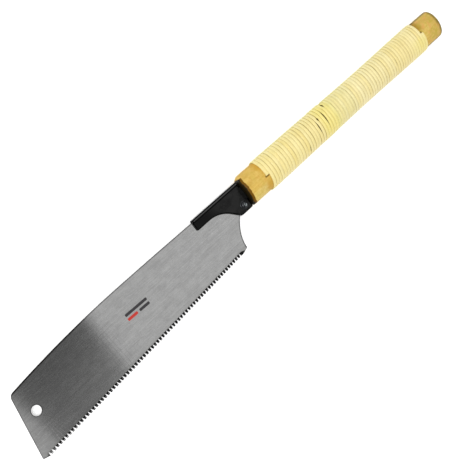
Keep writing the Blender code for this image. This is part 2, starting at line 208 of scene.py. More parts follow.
def extruded(name, outline, z0, z1, round_edges=0.0, segments=3, sharp_limit=50.0):
    """A filled outline given a thickness, with its edges rounded."""
    mesh = bpy.data.meshes.new(name)
    bm = bmesh.new()
    verts = [bm.verts.new(at(x, y, z0)) for x, y in outline]
    loop = [bm.edges.new((verts[i - 1], verts[i])) for i in range(len(verts))]
    face = bmesh.ops.edgeloop_fill(bm, edges=loop)["faces"]
    grown = bmesh.ops.extrude_face_region(bm, geom=face)["geom"]
    top = [g for g in grown if isinstance(g, bmesh.types.BMVert)]
    bmesh.ops.translate(bm, vec=(0, 0, (z1 - z0) * MM), verts=top)
    bmesh.ops.recalc_face_normals(bm, faces=bm.faces)
    if round_edges:
        rim = [
            e
            for e in bm.edges
            if len(e.link_faces) == 2 and e.calc_face_angle(0.0) > math.radians(sharp_limit)
        ]
        bmesh.ops.bevel(
            bm, geom=rim, offset=round_edges * MM, segments=segments, profile=0.5, affect="EDGES", clamp_overlap=True
        )
    bm.to_mesh(mesh)
    bm.free()
    return mesh


def boolean(obj, tool, operation="DIFFERENCE"):
    modifier = obj.modifiers.new("cut", "BOOLEAN")
    modifier.object = tool
    modifier.operation = operation
    modifier.solver = "EXACT"
    bpy.context.view_layer.update()
    graph = bpy.context.evaluated_depsgraph_get()
    mesh = bpy.data.meshes.new_from_object(obj.evaluated_get(graph))
    obj.modifiers.clear()
    obj.data = mesh
    bpy.data.objects.remove(tool, do_unlink=True)
    return obj


def tool_from(mesh):
    tool = bpy.data.objects.new("tool", mesh)
    bpy.context.scene.collection.objects.link(tool)
    return tool


# ------------------------------------------------------------------ materials


class Nodes:
    """A short way to build a node tree."""

    def __init__(self, name):
        self.material = bpy.data.materials.new(name)
        self.material.use_nodes = True
        self.tree = self.material.node_tree
        self.shader = self.tree.nodes["Principled BSDF"]

    def add(self, kind, **settings):
        node = self.tree.nodes.new(kind)
        for key, value in settings.items():
            setattr(node, key, value)
        return node

    def link(self, a, b):
        self.tree.links.new(a, b)

    def value(self, socket, item):
        if isinstance(item, (int, float)):
            socket.default_value = item
        elif isinstance(item, (tuple, list)):
            socket.default_value = item
        else:
            self.link(item, socket)

    def math(self, operation, a, b=0.0, c=None, clamp=False):
        node = self.add("ShaderNodeMath", operation=operation, use_clamp=clamp)
        self.value(node.inputs[0], a)
        self.value(node.inputs[1], b)
        if c is not None:
            self.value(node.inputs[2], c)
        return node.outputs[0]

    def step(self, item, low, high, out_low=0.0, out_high=1.0):
        node = self.add("ShaderNodeMapRange", interpolation_type="SMOOTHSTEP", clamp=True)
        self.value(node.inputs["Value"], item)
        self.value(node.inputs["From Min"], low)
        self.value(node.inputs["From Max"], high)
        self.value(node.inputs["To Min"], out_low)
        self.value(node.inputs["To Max"], out_high)
        return node.outputs["Result"]

    def mix(self, factor, a, b, blend="MIX"):
        node = self.add("ShaderNodeMix", data_type="RGBA", blend_type=blend)
        self.value(node.inputs[0], factor)
        self.value(node.inputs[6], a if not isinstance(a, tuple) else (*a, 1.0))
        self.value(node.inputs[7], b if not isinstance(b, tuple) else (*b, 1.0))
        return node.outputs[2]

    def object_mm(self, stretch=(1.0, 1.0, 1.0), offset=(0.0, 0.0, 0.0)):
        """Object coordinates in drawing millimetres, times stretch."""
        coordinates = self.add("ShaderNodeTexCoord")
        move = self.add("ShaderNodeVectorMath", operation="MULTIPLY_ADD")
        self.link(coordinates.outputs["Object"], move.inputs[0])
        move.inputs[1].default_value = (1000.0, 1000.0, 1000.0)
        move.inputs[2].default_value = (MIDDLE_X, MIDDLE_Y, -BLADE_Z)
        scale = self.add("ShaderNodeVectorMath", operation="MULTIPLY_ADD")
        self.link(move.outputs[0], scale.inputs[0])
        scale.inputs[1].default_value = stretch
        scale.inputs[2].default_value = offset
        return scale.outputs[0]

    def noise(self, vector, scale=1.0, detail=3.0, roughness=0.5, distortion=0.0):
        node = self.add("ShaderNodeTexNoise", noise_dimensions="3D")
        self.link(vector, node.inputs["Vector"])
        node.inputs["Scale"].default_value = scale
        node.inputs["Detail"].default_value = detail
        node.inputs["Roughness"].default_value = roughness
        node.inputs["Distortion"].default_value = distortion
        return node.outputs["Fac"] if "Fac" in node.outputs else node.outputs[0]

    def axes(self, vector):
        node = self.add("ShaderNodeSeparateXYZ")
        self.link(vector, node.inputs[0])
        return node.outputs

    def bump(self, height, strength, distance_mm, normal=None):
        node = self.add("ShaderNodeBump")
        node.inputs["Strength"].default_value = strength
        node.inputs["Distance"].default_value = distance_mm * MM
        self.link(height, node.inputs["Height"])
        if normal is not None:
            self.link(normal, node.inputs["Normal"])
        return node.outputs["Normal"]

    def set(self, **values):
        names = {
            "colour": "Base Color",
            "rough": "Roughness",
            "metal": "Metallic",
            "normal": "Normal",
            "coat": "Coat Weight",
            "coat_rough": "Coat Roughness",
            "specular": "Specular IOR Level",
            "anisotropic": "Anisotropic",
            "anisotropic_rotation": "Anisotropic Rotation",
            "tangent": "Tangent",
            "sheen": "Sheen Weight",
            "subsurface": "Subsurface Weight",
        }
        for key, item in values.items():
            socket = self.shader.inputs[names[key]]
            if isinstance(item, tuple) and len(item) == 3:
                item = (*item, 1.0)
            self.value(socket, item)
        return self.material


def srgb(r, g, b):
    def one(c):
        c /= 255.0
        return c / 12.92 if c <= 0.04045 else ((c + 0.055) / 1.055) ** 2.4

    return (one(r), one(g), one(b))


TIP_START, TIP_SLOPE, TIP_BOW = -56.93, 0.0455, 0.000025
DEPTH = 3.35


def tip_y(x):
    return TIP_START + TIP_SLOPE * x + TIP_BOW * x * x


def steel_material():
    n = Nodes("brushed_blade_steel")
    fine = n.noise(n.object_mm((0.10, 3.6, 1.0)), 1.0, 5.0, 0.7)
    broad = n.noise(n.object_mm((0.03, 0.75, 1.0)), 1.0, 3.0, 0.6)
    cloud = n.noise(n.object_mm((0.11, 0.14, 1.0)), 1.0, 4.0, 0.62)
    grain = n.noise(n.object_mm((0.9, 0.9, 1.0)), 1.0, 3.0, 0.6)
    x, y, z = n.axes(n.object_mm())
    tone = n.math("ADD", n.math("MULTIPLY", fine, 0.34), n.math("MULTIPLY", broad, 0.22))
    tone = n.math("ADD", tone, n.math("MULTIPLY", cloud, 0.24))
    tone = n.math("ADD", tone, n.math("MULTIPLY", grain, 0.20))
    tone = n.step(tone, 0.30, 0.70)
    colour = n.mix(tone, (0.388, 0.388, 0.385), (0.618, 0.619, 0.614))
    # Nearly black oxide on the hardened teeth, with a thin straw line above it
    edge = n.math("SUBTRACT", y, n.math("MULTIPLY_ADD", x, n.math("MULTIPLY_ADD", x, TIP_BOW, TIP_SLOPE), TIP_START))
    wander = n.math("MULTIPLY_ADD", n.noise(n.object_mm((0.6, 0.6, 1.0)), 1.0, 2.0), 0.3, -0.15)
    edge = n.math("ADD", edge, wander)
    zone = n.math("MULTIPLY", n.step(y, -35.0, -39.0), n.step(x, -2.8, -1.4))
    reach = n.step(x, 253.5, 263.0, DEPTH, 0.5)
    dark = n.step(edge, n.math("SUBTRACT", reach, 0.15), n.math("ADD", reach, 0.3), 1.0, 0.0)
    dark = n.math("MULTIPLY", n.math("MULTIPLY", dark, zone), n.step(x, 263.0, 256.0, 0.55, 1.0))
    dark = n.math("MULTIPLY", dark, n.step(x, 2.0, 10.0, 0.8, 1.0))
    warm = n.math("MULTIPLY", n.step(edge, DEPTH, DEPTH + 2.0, 1.0, 0.0), zone)
    colour = n.mix(n.math("MULTIPLY", warm, 0.22), colour, (0.26, 0.25, 0.23))
    # Painted shade: thin nearly black lines along the spine, the toe, the foot and the heel, and a ring round the
    # hanging hole
    fore = n.math("DIVIDE", n.math("MAXIMUM", n.math("SUBTRACT", 140.0, x), 0.0), 135.05)
    aft = n.math("DIVIDE", n.math("MAXIMUM", n.math("SUBTRACT", x, 140.0), 0.0), 93.4)
    spine = n.math("MULTIPLY_ADD", n.math("MULTIPLY", fore, fore), -8.1, 11.7)
    spine = n.math("ADD", spine, n.math("MULTIPLY", n.math("MULTIPLY", aft, aft), -0.6))
    edge_shade_line = n.step(n.math("SUBTRACT", spine, y), n.step(x, 80.0, 105.0, 0.85, 0.5), n.step(x, 80.0, 105.0, 1.6, 1.25))
    edge_shade_line = n.math("SUBTRACT", 1.0, edge_shade_line)
    edge_shade_line = n.math("MULTIPLY", n.math("MULTIPLY", edge_shade_line, n.step(y, -2.0, 2.0)), n.step(x, 80.0, 105.0, 0.95, 0.72))
    toe = n.math("SUBTRACT", x, n.math("MULTIPLY_ADD", n.math("SUBTRACT", y, 3.6), 0.2123, 4.95))
    edge_shade_line = n.math("MAXIMUM", edge_shade_line, n.step(toe, 0.3, 0.9, 0.6, 0.0))
    hx, hy = n.math("SUBTRACT", x, 14.1), n.math("SUBTRACT", y, -20.6)
    hole = n.math("SQRT", n.math("ADD", n.math("MULTIPLY", hx, hx), n.math("MULTIPLY", hy, hy)))
    edge_shade_line = n.math("MAXIMUM", edge_shade_line, n.step(hole, 4.9, 5.6, 0.75, 0.0))
    # Painted shade along the heel's edge
    t = n.math("DIVIDE", n.math("ADD", y, 40.8), 26.9)
    heel_shade = n.math("ADD", n.math("MULTIPLY_ADD", t, 1.8, 263.4), n.math("MULTIPLY", n.math("MULTIPLY", t, t), 13.2))
    heel_shade = n.step(n.math("SUBTRACT", heel_shade, x), 0.6, 1.9, 0.85, 0.0)
    heel_shade = n.math("MULTIPLY", n.math("MULTIPLY", heel_shade, n.step(x, 256.0, 261.0)), n.step(y, -12.5, -15.0))
    colour = n.mix(heel_shade, colour, (0.06, 0.06, 0.06))
    foot = n.math("SUBTRACT", y, n.math("MULTIPLY_ADD", x, -0.3125, -57.11))
    foot = n.math("SUBTRACT", foot, n.step(x, -4.2, -1.4, 0.0, 0.8))
    foot = n.math("MULTIPLY", n.step(foot, 0.3, 0.9, 0.85, 0.0), n.step(x, -0.2, -0.7))
    edge_shade_line = n.math("MAXIMUM", edge_shade_line, foot)
    colour = n.mix(edge_shade_line, colour, (0.012, 0.012, 0.012))
    colour = n.mix(dark, colour, (0.006, 0.006, 0.0065))
    rough = n.math("MULTIPLY_ADD", fine, 0.06, 0.095)
    rough = n.math("ADD", rough, n.math("MULTIPLY", dark, 0.25))
    metal = n.math("SUBTRACT", 1.0, n.math("MULTIPLY", dark, 0.7))
    normal = n.bump(fine, 0.06, 0.02)
    tangent = n.add("ShaderNodeTangent", direction_type="UV_MAP", uv_map="plane")
    n.link(tangent.outputs[0], n.shader.inputs["Tangent"])
    return n.set(colour=colour, rough=rough, metal=metal, normal=normal, anisotropic=0.75, anisotropic_rotation=0.25, specular=0.1)


def enamel_material():
    n = Nodes("black_enamel")
    peel = n.noise(n.object_mm((1.0, 1.0, 1.0)), 1.1, 3.0, 0.55)
    broad = n.noise(n.object_mm((0.08, 0.12, 0.1)), 1.0, 2.0, 0.5)
    x, y, z = n.axes(n.object_mm())
    patchy = n.noise(n.object_mm((0.35, 0.35, 0.3)), 1.0, 4.0, 0.65)
    colour = n.mix(n.step(broad, 0.35, 0.65), (0.0022, 0.0022, 0.0023), (0.0082, 0.0082, 0.0080))
    colour = n.mix(n.step(patchy, 0.45, 0.7, 0.0, 0.75), colour, (0.0110, 0.0108, 0.0104))
    colour = n.mix(n.step(x, 268.0, 250.0, 0.0, 0.85), colour, (0.0010, 0.0010, 0.0010))
    # Painted shade: nearly black along the edges, and a painted shadow in a line below the bead
    rim = n.step(n.add("ShaderNodeAttribute", attribute_name="rim").outputs["Fac"], 0.05, 0.45)
    bead = n.math("MULTIPLY", n.step(y, 10.0, 10.3), n.step(n.math("ABSOLUTE", z), 1.9, 2.0))
    bead = n.math("MULTIPLY", bead, n.math("SUBTRACT", 1.0, rim))
    bead_shadow = n.math("MULTIPLY", n.step(y, 8.9, 9.5), n.step(n.math("ABSOLUTE", z), 2.1, 1.95))
    rim = n.math("MAXIMUM", rim, bead_shadow)
    colour = n.mix(rim, colour, (0.0012, 0.0012, 0.0012))
    colour = n.mix(bead, colour, (0.045, 0.045, 0.045))
    rough = n.math("MULTIPLY_ADD", peel, 0.12, 0.16)
    normal = n.bump(peel, 0.14, 0.06)
    metal = n.math("MAXIMUM", n.math("MULTIPLY", n.math("MAXIMUM", rim, bead), 0.92), n.step(x, 262.0, 246.0, 0.0, 0.3))
    return n.set(colour=colour, rough=rough, normal=normal, metal=metal, specular=0.2)


def oxide_material():
    n = Nodes("dark_oxide_steel")
    spots = n.noise(n.object_mm(), 2.4, 4.0, 0.6)
    x, y, z = n.axes(n.object_mm())
    # Painted highlight, and wear: a bright patch on the flat of the screw head, set off its centre where the highlight
    # falls
    top = n.step(z, HEAD_TOP - 0.16, HEAD_TOP - 0.02)
    dx, dy = n.math("SUBTRACT", x, PIVOT[0] + 0.3), n.math("SUBTRACT", y, PIVOT[1] - 0.3)
    reach = n.math("SQRT", n.math("ADD", n.math("MULTIPLY", dx, dx), n.math("MULTIPLY", dy, dy)))
    wear_and_highlight = n.math("MULTIPLY", top, n.step(n.math("ADD", reach, n.math("MULTIPLY", spots, 0.9)), 2.35, 1.7))
    colour = n.mix(spots, (0.035, 0.037, 0.040), (0.060, 0.063, 0.067))
    colour = n.mix(n.math("MULTIPLY", wear_and_highlight, 0.9), colour, (0.36, 0.40, 0.41))
    rough = n.math("MULTIPLY_ADD", spots, 0.16, 0.22)
    return n.set(colour=colour, rough=rough, metal=1.0, normal=n.bump(spots, 0.10, 0.03))


def mill_material():
    n = Nodes("mill_steel")
    streak = n.noise(n.object_mm((0.2, 3.0, 3.0)), 1.0, 4.0, 0.6)
    colour = n.mix(streak, (0.26, 0.26, 0.27), (0.42, 0.42, 0.43))
    rough = n.math("MULTIPLY_ADD", streak, 0.2, 0.35)
    return n.set(colour=colour, rough=rough, metal=1.0, normal=n.bump(streak, 0.15, 0.04))


def wood_material():
    n = Nodes("honey_wood")
    # Growth rings about a pith line outside the handle, so that they run as long grain on the
    # sides and as arcs across both ends
    warp = n.noise(n.object_mm((0.006, 0.05, 0.05)), 1.0, 3.0, 0.5)
    x, y, z = n.axes(n.object_mm())
    dy = n.math("ADD", n.math("ADD", y, 34.0), n.math("MULTIPLY", warp, 9.0))
    dz = n.math("ADD", n.math("ADD", z, 52.0), n.math("MULTIPLY", warp, 6.0))
    radius = n.math("SQRT", n.math("ADD", n.math("MULTIPLY", dy, dy), n.math("MULTIPLY", dz, dz)))
    radius = n.math("ADD", radius, n.math("MULTIPLY", x, 0.006))
    ring = n.math("FRACT", n.math("MULTIPLY", radius, 0.46))
    late = n.math("MULTIPLY", n.step(ring, 0.35, 0.93), n.step(ring, 0.93, 1.0, 1.0, 0.0))
    fibre = n.noise(n.object_mm((0.05, 3.2, 3.2)), 1.0, 5.0, 0.7)
    pores = n.noise(n.object_mm((0.22, 5.5, 5.5)), 1.0, 2.0, 0.5)
    pores = n.step(pores, 0.62, 0.74)
    mottle = n.noise(n.object_mm((0.03, 0.09, 0.09)), 1.0, 3.0, 0.6)
    light, honey, dark = srgb(218, 184, 98), srgb(204, 168, 82), srgb(160, 120, 50)
    colour = n.mix(n.math("MULTIPLY", late, 0.55), light, honey)
    colour = n.mix(n.math("MULTIPLY", n.step(fibre, 0.42, 0.75), 0.5), colour, honey)
    colour = n.mix(n.math("MULTIPLY", pores, 0.35), colour, dark)
    colour = n.mix(n.math("MULTIPLY", n.step(mottle, 0.42, 0.75), 0.5), colour, srgb(184, 148, 72))
    patch = n.noise(n.object_mm((0.12, 0.16, 0.16)), 1.0, 4.0, 0.6)
    colour = n.mix(n.math("MULTIPLY", n.step(patch, 0.5, 0.72), 0.4), colour, srgb(226, 198, 122))
    spot = n.noise(n.object_mm((0.30, 0.33, 0.33)), 1.0, 4.0, 0.65)
    colour = n.mix(n.math("MULTIPLY", n.step(spot, 0.46, 0.72), 0.5), colour, srgb(188, 150, 62))
    colour = n.mix(n.step(x, 320.0, 590.0), colour, n.mix(1.0, colour, (1.03, 1.08, 1.16), "MULTIPLY"))
    colour = n.mix(1.0, colour, (0.87, 0.87, 0.82), "MULTIPLY")
    # Painted light: the lower side of the front wood is lifted brighter
    colour = n.mix(n.math("MULTIPLY", n.step(y, -4.0, -10.0), n.step(x, 330.0, 322.0)), colour, n.mix(1.0, colour, (1.13, 1.29, 1.70), "MULTIPLY"))
    edge = n.math("ADD", x, n.math("MULTIPLY", spot, 6.0))
    edge = n.math("MULTIPLY", n.step(edge, 316.0, 323.0), n.step(n.math("ABSOLUTE", y), 3.0, 9.0, 0.25, 0.8))
    colour = n.mix(n.math("MULTIPLY", edge, n.step(x, 330.0, 328.0)), colour, srgb(184, 141, 48))
    # Painted shadow on the wood beside the wrapping's rear edge
    edge = n.math("MULTIPLY", n.step(n.math("ADD", x, n.math("MULTIPLY", spot, 3.0)), 594.0, 585.0), n.step(y, 1.0, 8.0))
    colour = n.mix(n.math("MULTIPLY", edge, n.step(x, 572.0, 576.0, 0.0, 0.8)), colour, srgb(148, 112, 22))
    # Darker towards the butt; painted shade along both narrow sides near the butt, and on the butt's rounded edge
    rise = n.math("ABSOLUTE", z)
    colour = n.mix(n.math("MULTIPLY", n.step(x, 588.0, 611.0), 0.35), colour, srgb(176, 146, 70))
    seam_shade = n.math("MULTIPLY", n.step(rise, 5.2, 2.8), n.step(y, -5.0, 5.0, 0.95, 0.66))
    colour = n.mix(n.math("MULTIPLY", seam_shade, n.step(x, 560.0, 580.0)), colour, srgb(72, 60, 22))
    colour = n.mix(n.step(n.math("ADD", x, n.math("MULTIPLY", spot, 1.6)), 607.6, 611.8, 0.0, 0.82), colour, srgb(98, 86, 32))
    ruddy = n.noise(n.object_mm((0.14, 0.20, 0.20), (40.0, 3.0, 0.0)), 1.0, 3.0, 0.6)
    colour = n.mix(n.math("MULTIPLY", n.step(ruddy, 0.50, 0.66), n.step(x, 540.0, 580.0, 0.15, 0.6)), colour, srgb(206, 150, 84))
    green = n.noise(n.object_mm((0.17, 0.17, 0.17), (-70.0, 9.0, 5.0)), 1.0, 3.0, 0.6)
    colour = n.mix(n.math("MULTIPLY", n.step(green, 0.50, 0.68), n.step(x, 540.0, 580.0, 0.2, 0.6)), colour, srgb(176, 156, 58))
    # The cut end shows its growth rings
    end = n.mix(late, srgb(176, 138, 72), srgb(134, 98, 44))
    end = n.mix(n.math("MULTIPLY", n.step(fibre, 0.45, 0.75), 0.4), end, srgb(120, 88, 38))
    colour = n.mix(n.step(x, 613.0, 613.4), colour, end)
    # Painted shade below the wrapping, seen through the gaps between turns, and painted shadow where its first and last
    # strips end
    under = n.math("MULTIPLY", n.step(x, 325.5, 328.5), n.step(x, 579.5, 578.0))
    tuck_shadow = n.math("MULTIPLY", n.step(n.math("ABSOLUTE", n.math("ADD", y, 1.6)), 1.5, 0.5), n.step(x, 318.6, 320.2))
    tuck_shadow = n.math("MULTIPLY", n.math("MULTIPLY", tuck_shadow, n.step(z, 4.0, 6.0)), n.step(x, 332.0, 330.0))
    rear = n.math("MULTIPLY", n.step(n.math("ABSOLUTE", n.math("SUBTRACT", y, 2.8)), 1.6, 0.4), n.step(x, 584.6, 582.4))
    rear = n.math("MULTIPLY", n.math("MULTIPLY", rear, n.step(x, 578.0, 580.0)), n.step(z, 4.0, 6.0))
    colour = n.mix(n.math("MULTIPLY", under, 0.93), colour, srgb(40, 28, 10))
    colour = n.mix(n.math("MULTIPLY", n.math("MAXIMUM", tuck_shadow, rear), 0.8), colour, srgb(78, 60, 10))
    # The front face is painted nearly black, as stain from the holder and as painted shade beside it, and its rounded
    # edge a darker amber, as painted shade on the rounding
    rim = n.math("ADD", x, n.math("MULTIPLY", n.noise(n.object_mm((0.35, 0.35, 0.35)), 1.0, 3.0), 1.8))
    rim = n.math("SUBTRACT", rim, n.math("ADD", n.step(y, 9.6, 13.2, 0.0, 1.6), n.step(y, -12.0, -15.2, 0.0, 1.8)))
    front = n.step(n.math("ADD", y, n.math("MULTIPLY", spot, 1.0)), 14.1, 13.4)
    colour = n.mix(n.math("MULTIPLY", n.step(rim, 299.7, 298.9), front), colour, srgb(100, 68, 2))
    stain_and_shade = n.mix(n.step(n.math("ADD", z, n.math("MULTIPLY", spot, 3.0)), 4.5, 9.5), srgb(12, 9, 3), srgb(34, 25, 4))
    colour = n.mix(n.math("MULTIPLY", n.step(rim, 297.4, 296.7), front), colour, stain_and_shade)
    height = n.math("ADD", n.math("MULTIPLY", fibre, 0.6), n.math("MULTIPLY", pores, -0.8))
    rough = n.math("MULTIPLY_ADD", fibre, 0.18, 0.42)
    return n.set(colour=colour, rough=rough, normal=n.bump(height, 0.25, 0.06), specular=0.1)


def rattan_material():
    n = Nodes("split_rattan")
    strip = n.add("ShaderNodeAttribute", attribute_name="strip")
    along, across, chance = n.axes(strip.outputs["Vector"])
    lines = n.add("ShaderNodeCombineXYZ")
    n.link(n.math("MULTIPLY", along, 0.035), lines.inputs[0])
    n.link(n.math("MULTIPLY", across, 4.2), lines.inputs[1])
    n.link(n.math("MULTIPLY", chance, 9.0), lines.inputs[2])
    fibre = n.noise(lines.outputs[0], 1.0, 4.0, 0.65)
    patch = n.add("ShaderNodeCombineXYZ")
    n.link(n.math("MULTIPLY", along, 0.05), patch.inputs[0])
    n.link(n.math("MULTIPLY", across, 0.22), patch.inputs[1])
    blotch = n.noise(patch.outputs[0], 1.0, 3.0, 0.6)
    pale, straw, amber = srgb(240, 227, 172), srgb(234, 214, 142), srgb(176, 150, 78)
    colour = n.mix(n.step(chance, -0.6, 1.6), pale, straw)
    colour = n.mix(n.math("MULTIPLY", n.step(fibre, 0.45, 0.8), 0.5), colour, straw)
    colour = n.mix(n.math("MULTIPLY", n.step(blotch, 0.5, 0.8), 0.35), colour, amber)
    side = n.math("ABSOLUTE", across)
    x, y, z = n.axes(n.object_mm())
    # Painted shade: amber along each strip's edges, in the creases between turns
    smooth = n.math("MULTIPLY", n.step(x, 426.0, 431.0), n.step(x, 458.0, 450.0))
    seam_shade = n.math("MULTIPLY", n.step(side, 1.58, 1.96, 0.0, 0.85), n.math("MULTIPLY_ADD", smooth, -0.75, 1.0))
    seam_shade = n.math("MULTIPLY", seam_shade, n.step(x, 350.0, 385.0, 0.35, 0.8))
    colour = n.mix(seam_shade, colour, amber)
    # The lap, and the stretch behind it, are a stronger yellow
    lap = n.math("MULTIPLY", n.step(x, 405.0, 411.0), n.step(x, 436.0, 427.0))
    colour = n.mix(n.math("MULTIPLY", lap, 0.55), colour, srgb(230, 218, 124))
    colour = n.mix(1.0, colour, (0.938, 0.925, 0.842), "MULTIPLY")
    fleck = n.noise(n.object_mm((0.75, 0.75, 0.75)), 1.0, 3.0, 0.6)
    colour = n.mix(n.step(fleck, 0.42, 0.66), colour, n.mix(1.0, colour, (0.93, 0.925, 0.90), "MULTIPLY"))
    colour = n.mix(n.step(x, 412.0, 404.0), colour, n.mix(1.0, colour, (0.960, 0.975, 0.975), "MULTIPLY"))
    colour = n.mix(n.step(y, 6.0, 12.0), colour, n.mix(1.0, colour, (0.955, 0.968, 0.962), "MULTIPLY"))
    dull = n.math("MULTIPLY", n.step(x, 424.0, 432.0), n.step(x, 470.0, 452.0))
    colour = n.mix(dull, colour, n.mix(1.0, colour, (0.92, 0.97, 1.03), "MULTIPLY"))
    milky = n.math("MULTIPLY", n.step(x, 448.0, 470.0), n.step(x, 545.0, 512.0, 0.4, 1.0))
    colour = n.mix(milky, colour, n.mix(1.0, colour, (0.99, 1.03, 1.20), "MULTIPLY"))
    # Yellower towards the butt on the toothed side, and painted shade along both narrow sides
    tint = n.math("MULTIPLY", n.step(x, 552.0, 576.0), n.step(y, 4.0, -5.0, 0.0, 0.4))
    colour = n.mix(tint, colour, srgb(228, 214, 112))
    colour = n.mix(n.step(n.math("ABSOLUTE", z), 5.2, 1.8, 0.0, 0.5), colour, srgb(190, 182, 96))
    rough = n.math("MULTIPLY_ADD", fibre, 0.22, 0.26)
    height = n.math("ADD", fibre, n.math("MULTIPLY", blotch, 0.5))
    return n.set(colour=colour, rough=rough, normal=n.bump(height, 0.22, 0.05), specular=0.5)


def print_material(name, colour):
    n = Nodes(name)
    speck = n.noise(n.object_mm(), 3.0, 3.0, 0.6)
    mixed = n.mix(n.step(speck, 0.55, 0.8), colour, tuple(min(1.0, c * 1.8 + 0.02) for c in colour))
    return n.set(colour=mixed, rough=n.math("MULTIPLY_ADD", speck, 0.2, 0.35), specular=0.3)


STEEL = steel_material()
BLACK = enamel_material()
OXIDE = oxide_material()
MILL = mill_material()
WOOD = wood_material()
RATTAN = rattan_material()
PRINT_DARK = print_material("print_dark", srgb(46, 44, 46))
PRINT_RED = print_material("print_red", srgb(168, 44, 34))

for name, obj in frame["nodes"].items():
    chosen = {
        "saw_blade": STEEL,
        "holder_plate_upper": BLACK,
        "holder_plate_lower": BLACK,
        "spine_channel": BLACK,
        "clamp_screw": OXIDE,
        "clamp_nut": OXIDE,
        "washer_upper": OXIDE,
        "washer_lower": OXIDE,
        "handle_half_upper": WOOD,
        "handle_half_lower": WOOD,
    }.get(name, MILL)
    if name.startswith("rattan"):
        chosen = WOOD
    obj.data.materials.clear()
    obj.data.materials.append(chosen)

# ------------------------------------------------------------------ blade

PITCH = 1.8
TEETH = 141
FLEAM = 18.0
LEAN = 0.85
SET = 0.11
TOE_SPINE = (4.95, 3.6)
TOE_HEEL = (-7.4, -54.8)
HEEL_CORNER = (263.4, -40.8)
HEEL_BULGE = (264.3, -27.0)
HEEL_TOP = (278.4, -13.9)
HANG_HOLE, HANG_R = (14.1, -20.6), 4.6
TANG_REAR, TANG_BOTTOM, HOOK = 290.5, -13.7, 4.5
CREST_X, HOLDER_X = 140.0, xd(plate_low.x)


def spine_y(x):
    if x < CREST_X:
        return 11.7 - 8.1 * ((CREST_X - x) / (CREST_X - TOE_SPINE[0])) ** 2
    return 11.7 - 0.6 * min((x - CREST_X) / (HOLDER_X - CREST_X), 1.0) ** 2


def groove(index):
    """Depth, half width at the bottom and half width at the tips of the gullet in front of a tooth."""
    wear = float(np.interp(index * PITCH, (20, 60, 100, 140, 180, 215), (1.10, 0.95, 0.88, 0.92, 1.0, 0.88)))
    return (DEPTH, 0.33 * wear, 1.00 * wear) if index % 2 == 0 else (2.40, 0.07, 0.42 * wear)


def flank(index, side, height, shift):
    depth, low, high = groove(index)
    share = max(0.0, 1.0 - height / depth)
    return index * PITCH + shift * (1 if index % 2 == 0 else -1) + side * (low + (high - low) * share)


